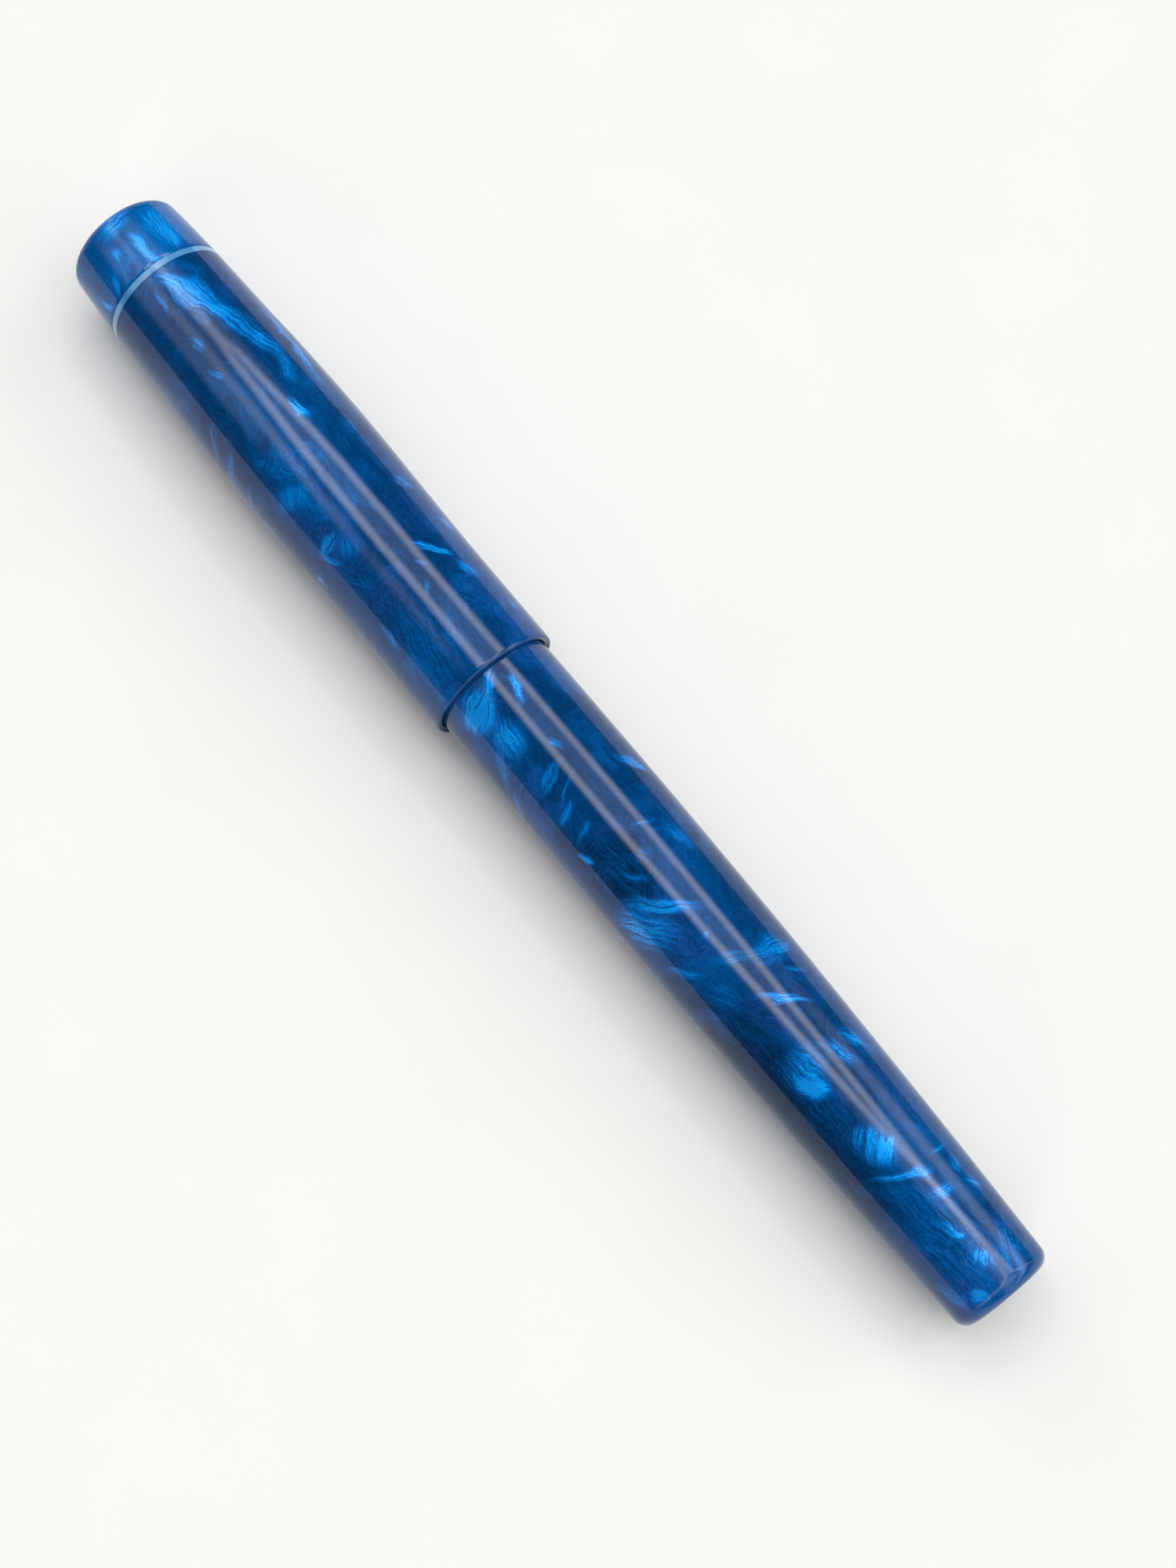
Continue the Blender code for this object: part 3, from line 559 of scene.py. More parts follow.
# Cap: radii of its bores and of the finial's tenon, and the stations where they start and end
LIP_BORE = 6.74
LIP_BORE_END = 14.9
CAP_BORE = 6.40
HEAD_BORE = 5.60
HEAD_START = 57.3
TENON_RADIUS = 5.50
TENON_START = 57.6
TENON_BORE = 4.85
TENON_BORE_END = 64.0
LIP_ROUND = 0.55
LIP_ROUND_DEPTH = 0.18
CAP_TOP_FILLET = 1.2
CAP_THREAD_LEAD = 2.4
CAP_THREAD_STARTS = 3
CAP_THREAD_DEPTH = 0.34

# Barrel
BARREL_SHOULDER = 8.8
BARREL_THREAD_ROOT = 5.90
BARREL_BORE = 4.80
BARREL_BORE_END = -65.5
BARREL_END_FILLET = 1.5
BUSH_POCKET = 5.35
BUSH_POCKET_START = 5.9
O_RING_SEAT = 5.50
O_RING_SEAT_START = 15.1

# Grip section: (distance from the front, radius)
SECTION_OUTLINE = (
    (0, 5.15),
    (1.4, 5.15),
    (3.5, 4.98),
    (7.0, 4.85),
    (13.0, 4.98),
    (18.5, 5.24),
    (20.9, 5.34),
)
SECTION_TENON = 4.45
SECTION_SHOULDER = 4.60
SECTION_BORE = 4.15
CONVERTER_SEAT = 3.85
CONVERTER_SEAT_END = 17.6
BARREL_THREAD_LEAD = 1.0


def make_cap_body():
    """A tube with a rounded lip, a threaded bore behind it, the main bore and the head's bore."""
    rim = cap_radius(LIP)
    top = RING_LOW - SEAM
    profile = [(cap_radius(RING_LOW) - SEAM_DIP, top)]
    profile += along(cap_radius, RING_LOW - 0.04, LIP + LIP_ROUND + 0.1, 70)
    for angle in steps(0, math.pi / 2, 12):
        inward = LIP_ROUND_DEPTH * (1 - math.cos(angle))
        profile.append((rim - inward, LIP + LIP_ROUND * (1 - math.sin(angle))))
    profile += [(LIP_BORE + 0.30, LIP), (LIP_BORE + 0.26, LIP + 0.10)]
    profile += [(LIP_BORE + 0.08, LIP + 0.12)]
    profile += round_corner(LIP_BORE + 0.08, LIP + 0.20, 0.08, -90, -180, 4)
    profile += level(LIP_BORE, LIP + 0.5, LIP_BORE_END, 76)
    profile += [(CAP_BORE, LIP_BORE_END + 0.2), (CAP_BORE, HEAD_START)]
    profile += [(HEAD_BORE, HEAD_START), (HEAD_BORE, top)]
    thread = Thread(
        wall=LIP_BORE,
        first=9.2,
        last=14.3,
        lead=CAP_THREAD_LEAD,
        starts=CAP_THREAD_STARTS,
        depth=-CAP_THREAD_DEPTH,
    )
    return lathe("cap_shell", profile, threads=[thread])


def make_accent_ring():
    bore = TENON_RADIUS + 0.07
    profile = along(cap_radius, RING_HIGH, RING_LOW, 6) + [(bore, RING_LOW), (bore, RING_HIGH)]
    return lathe("cap_ring_band", profile)


def make_finial():
    """The cap's top with its rounded edge, and the hollow tenon that holds the ring."""
    edge = CAP_TOP - CAP_TOP_FILLET
    corner = cap_radius(edge) - CAP_TOP_FILLET
    base = RING_HIGH + SEAM
    profile = [(0, CAP_TOP), (corner - 0.4, CAP_TOP)]
    profile += round_corner(corner, edge, CAP_TOP_FILLET, 90, 6, 14)
    profile += along(cap_radius, edge - 0.4, base + 0.03, 14)
    profile += [(cap_radius(base) - SEAM_DIP, base), (TENON_RADIUS, base)]
    profile += [(TENON_RADIUS, TENON_START), (TENON_BORE, TENON_START)]
    profile += [(TENON_BORE, TENON_BORE_END), (0, TENON_BORE_END)]
    return lathe("cap_top_piece", profile)


def make_inner_cap():
    """A closed liner: a wide sleeve for the section, a taper, and a narrow nose for the nib."""
    mouth, nose = span("inner_cap")
    sleeve, sleeve_bore = 6.30, 5.75
    nose_radius, nose_bore = 4.75, 4.30
    taper_start, taper_end = 50.0, 56.4
    rim = 0.18
    profile = [(0, nose), (nose_radius - 0.3, nose)]
    profile += round_corner(nose_radius - 0.3, nose - 0.3, 0.3, 90, 0, 5)
    profile += [(nose_radius, taper_end), (sleeve, taper_start), (sleeve, mouth + 0.2)]
    profile += round_corner(sleeve - rim, mouth + rim, rim, 0, -90, 5)
    profile += round_corner(sleeve_bore + rim, mouth + rim, rim, -90, -180, 5)
    profile += [(sleeve_bore, taper_start), (nose_bore, taper_end)]
    profile += [(nose_bore, nose - 0.6), (0, nose - 0.6)]
    return lathe("inner_cap_liner", profile, FINE)


def make_barrel():
    """The barrel with its threaded front, rounded end, blind bore, and seats for bush and seal."""
    edge = BARREL_END + BARREL_END_FILLET
    corner = barrel_radius(edge) - BARREL_END_FILLET
    root = BARREL_THREAD_ROOT
    mouth_round = 0.18
    profile = [(O_RING_SEAT, BARREL_FRONT), (root - mouth_round, BARREL_FRONT)]
    profile += round_corner(root - mouth_round, BARREL_FRONT - mouth_round, mouth_round, 90, 0, 5)
    profile += level(root, BARREL_FRONT - 0.4, BARREL_SHOULDER + 0.6, 84)
    profile += [(root + 0.02, BARREL_SHOULDER + 0.45), (root + 0.2, BARREL_SHOULDER + 0.25)]
    profile += [(root + 0.6, BARREL_SHOULDER + 0.05)]
    profile += along(barrel_radius, BARREL_SHOULDER - 0.1, edge + 0.2, 90)
    profile += round_corner(corner, edge, BARREL_END_FILLET, -6, -90, 16)
    profile += [(0, BARREL_END), (0, BARREL_BORE_END), (BARREL_BORE, BARREL_BORE_END)]
    profile += [(BARREL_BORE, BUSH_POCKET_START), (BUSH_POCKET, BUSH_POCKET_START)]
    profile += [(BUSH_POCKET, O_RING_SEAT_START), (O_RING_SEAT, O_RING_SEAT_START)]
    thread = Thread(
        wall=root,
        first=9.9,
        last=15.2,
        lead=CAP_THREAD_LEAD,
        starts=CAP_THREAD_STARTS,
        depth=CAP_THREAD_DEPTH,
    )
    return lathe("barrel_shell", profile, threads=[thread])


def make_grip_section():
    """The waisted grip with a rounded front, and the threaded tenon behind it."""
    back, front = span("grip_section")
    shoulder = front - 20.9
    front_round = 0.35
    profile = [(SECTION_BORE, front)]
    profile += round_corner(4.80, front - front_round, front_round, 90, 8, 8)
    for distance in steps(0.5, 20.8, 44):
        profile.append((outline_radius(SECTION_OUTLINE, distance), front - distance))
    profile += [(5.30, shoulder), (SECTION_SHOULDER, shoulder), (SECTION_SHOULDER, 13.1)]
    profile += [(SECTION_TENON, 12.9)] + level(SECTION_TENON, 12.8, back + 0.3, 64)
    profile += [(SECTION_TENON - 0.15, back), (CONVERTER_SEAT, back)]
    profile += [(CONVERTER_SEAT, CONVERTER_SEAT_END), (SECTION_BORE, CONVERTER_SEAT_END)]
    thread = Thread(
        wall=SECTION_TENON, first=6.8, last=12.6, lead=BARREL_THREAD_LEAD, starts=1, depth=0.22
    )
    return lathe("grip", profile, 108, [thread])


def make_nib_housing():
    """The sleeve round nib and feed: a flange in front, a thread, and the converter's nipple."""
    tip, front = span("nib_housing")
    wall, flange, bore = 3.75, 4.45, 3.30
    back, bore_start = 17.9, 19.6
    nipple, passage = 1.60, 0.70
    flange_round = 0.15
    profile = [(bore, front), (flange - flange_round, front)]
    profile += round_corner(flange - flange_round, front - flange_round, flange_round, 90, 0, 4)
    profile += [(flange, front - 0.5), (wall, front - 0.5), (wall, 24.2)]
    profile += level(wall, 24.0, back + 0.3, 93) + [(wall - 0.15, back), (nipple, back)]
    profile += [(nipple, tip + 0.6), (nipple - 0.4, tip), (passage, tip)]
    profile += [(passage, bore_start), (bore, bore_start)]
    thread = Thread(wall=wall, first=18.4, last=23.8, lead=0.5, starts=1, depth=0.14)
    return lathe("nib_sleeve", profile, FINE, [thread])


# (station, radius of curvature, half the width along the curve, height of the crest)
NIB_OUTLINE = (
    (25.0, 3.20, 5.40, 3.20),
    (31.0, 3.20, 5.40, 3.20),
    (37.4, 3.22, 5.10, 3.20),
    (39.2, 3.30, 4.50, 3.20),
    (42.4, 3.55, 4.50, 3.15),
    (44.6, 3.65, 4.10, 3.02),
    (47.0, 3.70, 3.40, 2.82),
    (50.0, 3.75, 2.50, 2.48),
    (53.0, 3.70, 1.75, 2.10),
    (56.0, 3.40, 1.10, 1.75),
    (58.2, 2.60, 0.72, 1.52),
    (59.5, 2.00, 0.50, 1.40),
)
NIB_SHEET = 0.28
BREATHER_STATION = 47.0
BREATHER_RADIUS = 0.65
SLIT_WIDTH = 0.07
SLIT_LENGTH = 13.3
TIPPING_RADIUS = 0.45
TIPPING_CENTRE = Vector((60.02, 0, AXIS + 1.05))


def nib_at(station):
    """Radius of curvature, half width and crest height of the nib at a station."""
    return [
        outline_radius([(row[0], row[column]) for row in NIB_OUTLINE], station)
        for column in (1, 2, 3)
    ]


def make_cutter(name, shape):
    mesh = bpy.data.meshes.new(name)
    shape.to_mesh(mesh)
    shape.free()
    cutter = bpy.data.objects.new(name, mesh)
    bpy.context.scene.collection.objects.link(cutter)
    return cutter


def cut(obj, cutter):
    """Cuts a piece once, keeps the result as its mesh, and removes the cutter."""
    boolean = obj.modifiers.new("Cut", "BOOLEAN")
    boolean.operation = "DIFFERENCE"
    boolean.object = cutter
    bake_modifiers(obj)
    bpy.data.objects.remove(cutter)


def bake_modifiers(obj):
    bpy.context.view_layer.update()
    evaluated = obj.evaluated_get(bpy.context.evaluated_depsgraph_get())
    obj.data = bpy.data.meshes.new_from_object(evaluated)
    obj.modifiers.clear()


def box_shape(shape, centre, size, frame_of_box=Matrix()):
    """Adds a box to a shape, placed in its own frame of reference."""
    matrix = Matrix.Translation(Vector(centre) * MM) @ Matrix.Diagonal((*(Vector(size) * MM), 1))
    bmesh.ops.create_cube(shape, size=1, matrix=frame_of_box @ matrix)


def make_nib_blade():
    """The nib's curved sheet, before its hole and slit are cut."""
    columns = 40
    shape = bmesh.new()
    rows = []
    for station in steps(NIB_OUTLINE[0][0], NIB_OUTLINE[-1][0], 90):
        radius, half_width, crest = nib_at(station)
        row = []
        for angle in steps(-half_width / radius, half_width / radius, columns):
            height = AXIS + crest - radius + radius * math.cos(angle)
            row.append(shape.verts.new(Vector((station, radius * math.sin(angle), height)) * MM))
        rows.append(row)
    for row, other in zip(rows, rows[1:]):
        for i in range(columns - 1):
            shape.faces.new((row[i], row[i + 1], other[i + 1], other[i]))
    mesh = bpy.data.meshes.new("nib_blade")
    shape.to_mesh(mesh)
    shape.free()
    mesh.shade_smooth()
    if mesh.polygons[0].normal.z < 0:
        mesh.flip_normals()
    nib = bpy.data.objects.new("nib_blade", mesh)
    bpy.context.scene.collection.objects.link(nib)
    sheet = nib.modifiers.new("Sheet", "SOLIDIFY")
    sheet.thickness = NIB_SHEET * MM
    sheet.offset = -1
    bake_modifiers(nib)
    return nib


def make_nib():
    nib = make_nib_blade()
    hole = bmesh.new()
    bmesh.ops.create_cone(
        hole,
        cap_ends=True,
        segments=32,
        radius1=BREATHER_RADIUS * MM,
        radius2=BREATHER_RADIUS * MM,
        depth=5 * MM,
        matrix=Matrix.Translation(Vector((BREATHER_STATION, 0, AXIS + 2.5)) * MM),
    )
    cut(nib, make_cutter("breather", hole))
    slit = bmesh.new()
    box_shape(slit, (54.0, 0, AXIS + 2.0), (SLIT_LENGTH, SLIT_WIDTH, 6))
    cut(nib, make_cutter("slit", slit))
    nib.data.set_sharp_from_angle(angle=math.radians(40))
    return nib


def make_tipping():
    """A slightly flattened ball at the nib's tip, with the slit running into its top."""
    shape = bmesh.new()
    flatten = Matrix.Diagonal((1.0, 1.0, 0.94, 1))
    bmesh.ops.create_icosphere(
        shape,
        subdivisions=4,
        radius=TIPPING_RADIUS * MM,
        matrix=Matrix.Translation(TIPPING_CENTRE * MM) @ flatten,
    )
    tipping = new_object("writing_point", shape)
    notch = bmesh.new()
    box_shape(notch, TIPPING_CENTRE + Vector((0, 0, 0.3)), (2, SLIT_WIDTH, 0.7))
    cut(tipping, make_cutter("point_slit", notch))
    return tipping


# (station, radius)
FEED_OUTLINE = (
    (20.0, 2.60),
    (21.0, 2.74),
    (41.0, 2.72),
    (44.6, 2.42),
    (47.0, 2.18),
    (50.0, 1.73),
    (53.0, 1.18),
    (56.0, 0.48),
)
FEED_DROP = 0.42
FEED_LEAVES_SLEEVE = 39
FIN_STATIONS = (39.4, 51.4)
FIN_GAPS = 17
FIN_GAP_WIDTH = 0.34


def make_feed():
    """The feed hangs under the nib's crest, with comb fins below and an ink channel above."""
    sides = 40
    shape = bmesh.new()
    rings = []
    for station in steps(FEED_OUTLINE[0][0], FEED_OUTLINE[-1][0], 60):
        radius = outline_radius(FEED_OUTLINE, station)
        crest = nib_at(max(station, NIB_OUTLINE[0][0]))[2]
        middle = crest - FEED_DROP - radius
        if station <= FEED_LEAVES_SLEEVE:
            middle = min(0, middle)
        ring = []
        for angle in steps(0, 2 * math.pi, sides + 1)[:-1]:
            spot = (station, radius * math.sin(angle), AXIS + middle + radius * math.cos(angle))
            ring.append(shape.verts.new(Vector(spot) * MM))
        rings.append(ring)
    for ring, other in zip(rings, rings[1:]):
        for i in range(sides):
            j = (i + 1) % sides
            shape.faces.new((ring[i], ring[j], other[j], other[i]))
    shape.faces.new(rings[0])
    shape.faces.new(rings[-1][::-1])
    feed = new_object("ink_feed", shape)
    fins = bmesh.new()
    for station in steps(*FIN_STATIONS, FIN_GAPS):
        box_shape(fins, (station, 0, AXIS - 2.3), (FIN_GAP_WIDTH, 8, 4.5))
    cut(feed, make_cutter("fin_gaps", fins))
    channel = bmesh.new()
    box_shape(channel, (47.0, 0, AXIS + 3.0), (20, 0.5, 1.4))
    cut(feed, make_cutter("ink_channel", channel))
    feed.data.set_sharp_from_angle(angle=math.radians(35))
    return feed


def make_bush():
    back, front = span("barrel_thread_bush")
    bore, bore_mouth = 4.98, 5.10
    outside = BUSH_POCKET - 0.1
    profile = [(outside, front), (outside, back), (bore_mouth, back)]
    profile += level(bore, back + 0.2, front - 0.2, 66) + [(bore_mouth, front)]
    thread = Thread(
        wall=bore, first=6.5, last=12.4, lead=BARREL_THREAD_LEAD, starts=1, depth=-0.2
    )
    return lathe("threaded_bush", profile, FINE, [thread])


def make_o_ring():
    middle, station, wire = 5.12, 15.55, 0.30
    return lathe("mouth_seal", round_corner(middle, station, wire, 0, 342, 20), FINE, sharp=60)


CONVERTER_RADIUS = 3.65
CHAMBER_RADIUS = 3.05


def make_converter_tube():
    """The ink tube: a push-on mouth, a groove that marks it off, and the chamber."""
    back, mouth = span("converter_tube")
    mouth_bore, mouth_round, groove = 1.75, 0.30, 0.07
    edge = CONVERTER_RADIUS - mouth_round
    profile = [(mouth_bore, mouth), (edge, mouth)]
    profile += round_corner(edge, mouth - mouth_round, mouth_round, 90, 0, 5)
    profile += [(CONVERTER_RADIUS, 9.0), (CONVERTER_RADIUS - groove, 8.8)]
    profile += [(CONVERTER_RADIUS - groove, 8.2), (CONVERTER_RADIUS, 8.0)]
    profile += [(CONVERTER_RADIUS, back), (CHAMBER_RADIUS, back), (CHAMBER_RADIUS, 9.0)]
    profile += [(2.45, 9.6), (mouth_bore, 9.6)]
    return lathe("ink_tube", profile, FINE)


def make_ferrule():
    """The chromed sleeve, with two rings pressed into it and a hole for the knob's shaft."""
    back, front = span("converter_ferrule")
    outside, bore, hole = 4.10, 3.80, 1.50
    front_round, wall, ring_depth = 0.15, 0.8, 0.12
    edge = outside - front_round
    profile = [(bore, front), (edge, front)]
    profile += round_corner(edge, front - front_round, front_round, 90, 0, 4)
    for groove in (-20.0, -21.0):
        for offset, depth in ((0.15, 0), (0.05, ring_depth), (-0.05, ring_depth), (-0.15, 0)):
            profile.append((outside - depth, groove + offset))
    profile += [(outside, back + 0.3), (bore, back), (hole, back)]
    profile += [(hole, back + wall), (bore, back + wall)]
    return lathe("converter_sleeve", profile, FINE)


def flat_sided(name, profile, flat):
    """A turned piece with two flats, one on each side."""
    obj = lathe(name, profile, FINE)
    low, high = min(p[1] for p in profile), max(p[1] for p in profile)
    sides = bmesh.new()
    for side in (-1, 1):
        box_shape(sides, ((low + high) / 2, 0, AXIS + side * (flat + 2)), (high - low + 1, 9, 4))
    cut(obj, make_cutter("flats", sides))
    return obj


def make_rod_guide():
    back, front = span("rod_guide")
    hole, neck, collar, collar_front = 2.10, 2.95, 3.70, -19.6
    profile = [(hole, front), (neck, front), (neck, collar_front), (collar, collar_front)]
    profile += [(collar, back), (hole, back)]
    return lathe("keyed_guide", profile, FINE)


def make_piston_rod():
    """A hollow rod with two flats, so that the guide keeps it from turning."""
    back, front = span("piston_rod")
    radius, bore, flat = 2.0, 1.35, 1.6
    profile = [(0, front), (radius, front), (radius, back + 0.2), (radius - 0.15, back)]
    profile += [(bore, back), (bore, front - 1.3), (0, front - 1.3)]
    return flat_sided("hollow_rod", profile, flat)


def make_piston_head():
    back, front = span("piston_head")
    flange, neck = 2.85, 1.50
    profile = [(0, front), (2.35, front), (flange, front - 0.4), (flange, front - 0.8)]
    profile += [(neck, front - 0.8), (neck, back + 0.9), (flange, back + 0.9)]
    profile += [(flange, back), (0, back)]
    return lathe("plunger", profile, FINE)


def make_piston_seal():
    """A rubber sleeve with a lip at each end and a shallow waist."""
    back, front = span("piston_seal")
    bore, waist, lip = 1.60, 2.75, 0.25
    middle = (back + front) / 2
    profile = [(bore, front)] + round_corner(waist, front - lip, lip, 90, -30, 6)
    profile += [(waist, middle + 0.6), (waist - 0.03, middle), (waist, middle - 0.6)]
    profile += round_corner(waist, back + lip, lip, 30, -90, 6) + [(bore, back)]
    return lathe("plunger_seal", profile, FINE)


def make_spindle():
    """The two-start screw, the collar that takes its thrust, and the stub that holds the knob."""
    end, tip = span("piston_spindle")
    root, collar, stub = 0.90, 3.20, 1.30
    collar_front, collar_back = -43.3, -44.55
    profile = [(0, tip), (0.8, tip)] + level(root, tip - 0.2, collar_front + 0.1, 236)
    profile += [(root, collar_front), (collar, collar_front), (collar, collar_back)]
    profile += [(stub, collar_back), (stub, end), (0, end)]
    thread = Thread(wall=root, first=-43.2, last=-19.7, lead=2.5, starts=2, depth=0.32)
    return lathe("screw_spindle", profile, 32, [thread])


KNOB_RIBS = 24
KNOB_GROOVE = 0.36


def make_knob():
    """The knob: a band at each end, and grooves along the waist between them."""
    end, front = span("converter_knob")
    band, waist, bore, end_round = 3.55, 3.40, 1.40, 0.40
    profile = [(bore, front), (band - 0.2, front), (band, front - 0.2), (band, front - 1.0)]
    profile += [(waist, front - 1.2)] + level(waist, front - 1.6, end + 1.6, 3)
    profile += [(waist, end + 1.2), (band, end + 1.0), (band, end + 0.5)]
    profile += round_corner(band - end_round, end + end_round, end_round, 0, -90, 6)
    profile += [(0, end), (0, -50.1), (bore, -50.1)]
    knob = lathe("filling_knob", profile, FINE)
    shape = bmesh.new()
    for number in range(KNOB_RIBS):
        turn = Matrix.Rotation(2 * math.pi * number / KNOB_RIBS, 4, "X")
        turn = Matrix.Translation((0, 0, AXIS * MM)) @ turn
        box_shape(shape, ((end + front) / 2, 0, waist + 0.07), (8.2, KNOB_GROOVE, KNOB_GROOVE), turn)
    cut(knob, make_cutter("knob_grooves", shape))
    knob.data.set_sharp_from_angle(angle=math.radians(35))
    return knob


# ---------------------------------------------------------------- stage, light and camera


FLOOR_SIZE = 8
FLOOR_DROP = 0.00005
ROOM = 0.015
HORIZON = 0.12


def make_floor():
    bpy.ops.mesh.primitive_plane_add(size=FLOOR_SIZE, location=(0, 0, -FLOOR_DROP))
    floor = bpy.context.object
    floor.name = "floor"
    nodes = Surface("white_table")
    paper = nodes.noise(nodes.point, 0.05, 4)
    white = nodes.ramp(paper, ((0.3, (0.80, 0.80, 0.79)), (0.7, (0.815, 0.815, 0.805))))
    nodes.set(Base_Color=white, Roughness=0.9, Specular_IOR_Level=0.1)
    floor.data.materials.append(nodes.material)


def make_lights():
    """A dark studio whose long soft lamps lie along the pen.

    Each lamp is a stripe of the world shader. x is how far a direction points along the pen,
    and lean is its angle round the pen's axis in degrees, from straight up towards +Y. Two lamps
    draw together towards the pen's ends, as their reflections do in the photo.
    """
    world = bpy.data.worlds.new("studio")
    world.use_nodes = True
    nodes = Nodes(world.node_tree)
    direction = nodes.tree.nodes.new("ShaderNodeTexCoord").outputs["Generated"]
    x, y, z = nodes.parts(direction)
    lean = nodes.math("DEGREES", nodes.math("ARCTAN2", y, z))

    def stripe(centre, dark, bright, radiance):
        """A soft stripe along the pen: full within bright degrees of its centre, out at dark."""
        away = nodes.math("ABSOLUTE", nodes.math("SUBTRACT", lean, centre))
        return nodes.band(away, dark, bright, 0.0, radiance)

    def fade(lamp, out, full, rest=0.0):
        """Fades a lamp along the pen, from a rest of its radiance at x = out to all at x = full."""
        return nodes.math("MULTIPLY", lamp, nodes.band(x, out, full, rest, 1.0))

    offset = nodes.math("SUBTRACT", x, 0.2)
    towards_barrel = nodes.math("POWER", nodes.math("MINIMUM", offset, 0), 2)
    towards_cap = nodes.math("POWER", nodes.math("MAXIMUM", offset, 0), 2)
    far_line = nodes.math("MULTIPLY_ADD", nodes.math("ADD", towards_barrel, towards_cap), 190, -33.5)
    near_line = nodes.math("MULTIPLY_ADD", towards_barrel, -330, 6.5)
    near_line = nodes.math("MULTIPLY_ADD", towards_cap, -130, near_line)
    far_lamp = stripe(far_line, dark=11, bright=0.5, radiance=4.5)
    near_lamp = stripe(near_line, dark=11, bright=0.5, radiance=4.8)
    pair = fade(nodes.math("ADD", far_lamp, near_lamp), out=0.64, full=0.40)
    pair = fade(fade(pair, out=-0.12, full=0.06, rest=0.7), out=-0.62, full=-0.40)

    cap_line = nodes.math("MULTIPLY_ADD", x, -60, 49)
    cap_lamp = fade(stripe(cap_line, dark=14, bright=0, radiance=2.0), out=0.27, full=0.36)
    cap_haze = fade(stripe(38, dark=24, bright=8, radiance=1.05), out=0.36, full=0.5)
    cap_haze = fade(cap_haze, out=0.66, full=0.56)
    side_lamp = fade(stripe(-54, dark=20, bright=2, radiance=2.2), out=0.10, full=-0.04)
    end_lamp = fade(stripe(20, dark=75, bright=45, radiance=1.1), out=-0.20, full=-0.28)
    end_lamp = fade(end_lamp, out=-0.66, full=-0.50)
    haze = fade(stripe(-13, dark=30, bright=8, radiance=1.12), out=0.66, full=0.56, rest=0.2)
    top_fill = nodes.band(x, 0.63, 0.78, 0.0, 0.5)
    room = nodes.band(z, 0.35, 0.0, ROOM, HORIZON)

    total = pair
    for lamp in (haze, cap_lamp, cap_haze, side_lamp, end_lamp, top_fill, room):
        total = nodes.math("ADD", total, lamp)
    background = nodes.tree.nodes["Background"]
    background.inputs["Color"].default_value = (1.0, 0.995, 0.98, 1)
    nodes.put(background.inputs["Strength"], total)
    world.cycles.sampling_method = "MANUAL"
    world.cycles.sample_map_resolution = 1024
    bpy.context.scene.world = world
    bpy.context.scene.view_settings.view_transform = "Standard"


CAMERA_BACK = Vector((-0.214, 0.173, 0.961))
CAMERA_AIM = Vector((-7.4, -0.8, AXIS))
CAMERA_DISTANCE = 240.4
SENSOR_WIDTH = 36
LENS = 54.07


def make_camera():
    """The photo's viewing angle, which was fitted to the outline of the pen."""
    back = CAMERA_BACK.normalized()
    camera = bpy.data.objects.new("camera", bpy.data.cameras.new("camera"))
    bpy.context.scene.collection.objects.link(camera)
    camera.data.sensor_width = SENSOR_WIDTH
    camera.data.lens = LENS
    camera.data.clip_start = 0.01
    camera.location = (CAMERA_AIM + back * CAMERA_DISTANCE) * MM
    camera.rotation_mode = "QUATERNION"
    camera.rotation_quaternion = (-back).to_track_quat("-Z", "Y")
    bpy.context.scene.camera = camera


make_camera()
make_floor()
make_lights()

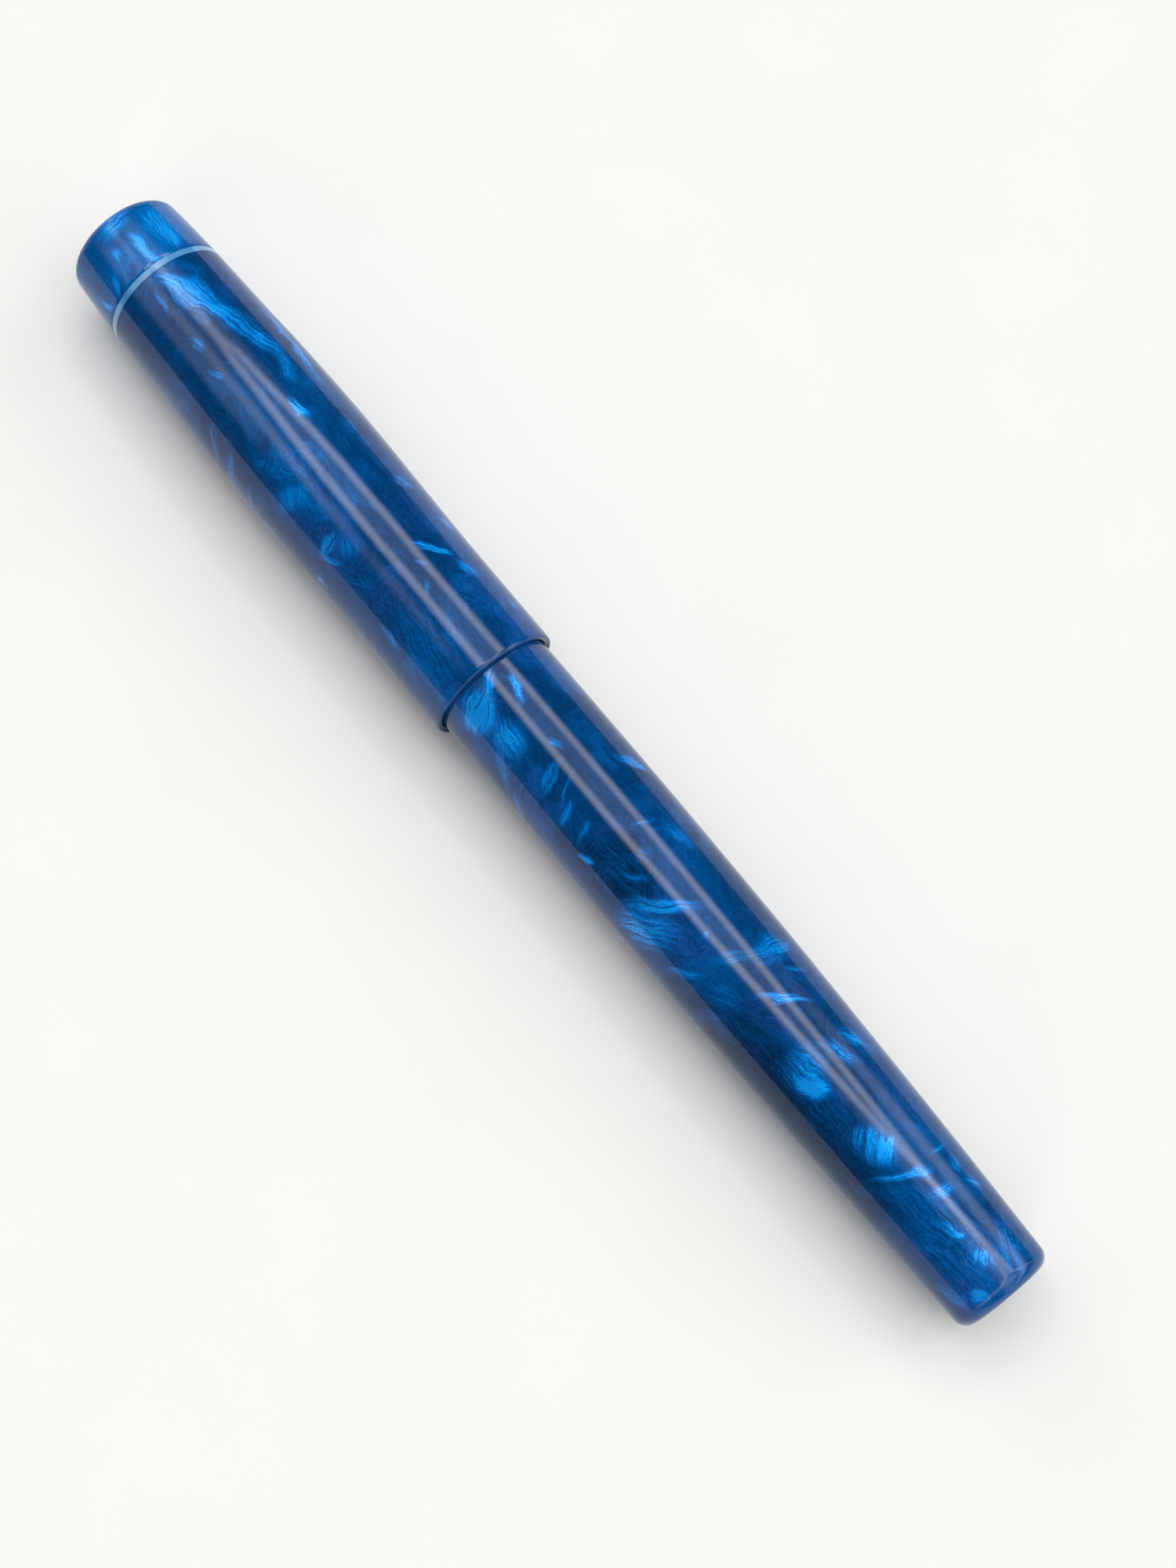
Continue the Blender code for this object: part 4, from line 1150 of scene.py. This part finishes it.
black = plastic("black_plastic", (0.010, 0.010, 0.011), (0.018, 0.018, 0.020), 0.34)
liner = plastic("liner_plastic", (0.020, 0.021, 0.024), (0.034, 0.035, 0.038), 0.42)
rubber = plastic("seal_rubber", (0.014, 0.014, 0.014), (0.026, 0.025, 0.024), 0.62, grain=1.6)
steel = metal("nib_steel", (0.66, 0.67, 0.68), (0.80, 0.80, 0.80), 0.12)
alloy = metal("point_alloy", (0.52, 0.53, 0.55), (0.66, 0.66, 0.67), 0.22, brush=(8.0, 8.0, 8.0))
brass = metal("turned_brass", (0.62, 0.42, 0.16), (0.80, 0.60, 0.28), 0.24, brush=(14.0, 0.6, 0.6))
chrome = metal("chrome_plate", (0.74, 0.75, 0.77), (0.84, 0.85, 0.86), 0.06, brush=(10.0, 0.5, 0.5))
clear = clear_plastic()
cap_resin = resin("cap_resin", CAP_SWIRLS, 0.11)
finial_resin = resin("finial_resin", FINIAL_SWIRLS, 0.30)
barrel_resin = resin("barrel_resin", BARREL_SWIRLS, 0.10)
grip_resin = resin("grip_resin", SECTION_SWIRLS, 0.14)

finish_piece(make_cap_body(), cap_resin, "cap", "resin", "cap_body")
finish_piece(make_finial(), finial_resin, "cap", "resin", "cap_finial")
finish_piece(make_accent_ring(), ring_resin(), "accent_ring", "ring_resin", "cap_accent_ring")
finish_piece(make_inner_cap(), liner, "inner_cap", "liner_plastic", "inner_cap")
finish_piece(make_barrel(), barrel_resin, "barrel", "resin", "barrel")
finish_piece(make_bush(), brass, "thread_bush", "brass", "barrel_thread_bush")
finish_piece(make_o_ring(), rubber, "o_ring", "rubber", "barrel_o_ring")
finish_piece(make_grip_section(), grip_resin, "grip", "resin", "grip_section")
finish_piece(make_nib_housing(), black, "nib_housing", "black_plastic", "nib_housing")
finish_piece(make_feed(), black, "nib", "black_plastic", "feed")
finish_piece(make_nib(), steel, "nib", "nib_steel", "nib")
finish_piece(make_tipping(), alloy, "nib", "tip_alloy", "nib_tipping")
finish_piece(make_converter_tube(), clear, "converter", "clear_plastic", "converter_tube")
finish_piece(make_ferrule(), chrome, "converter", "chrome", "converter_ferrule")
finish_piece(make_rod_guide(), black, "converter", "black_plastic", "rod_guide")
finish_piece(make_piston_rod(), black, "piston", "black_plastic", "piston_rod")
finish_piece(make_piston_head(), black, "piston", "black_plastic", "piston_head")
finish_piece(make_piston_seal(), rubber, "piston", "rubber", "piston_seal")
finish_piece(make_spindle(), black, "knob", "black_plastic", "piston_spindle")
finish_piece(make_knob(), black, "knob", "black_plastic", "converter_knob")
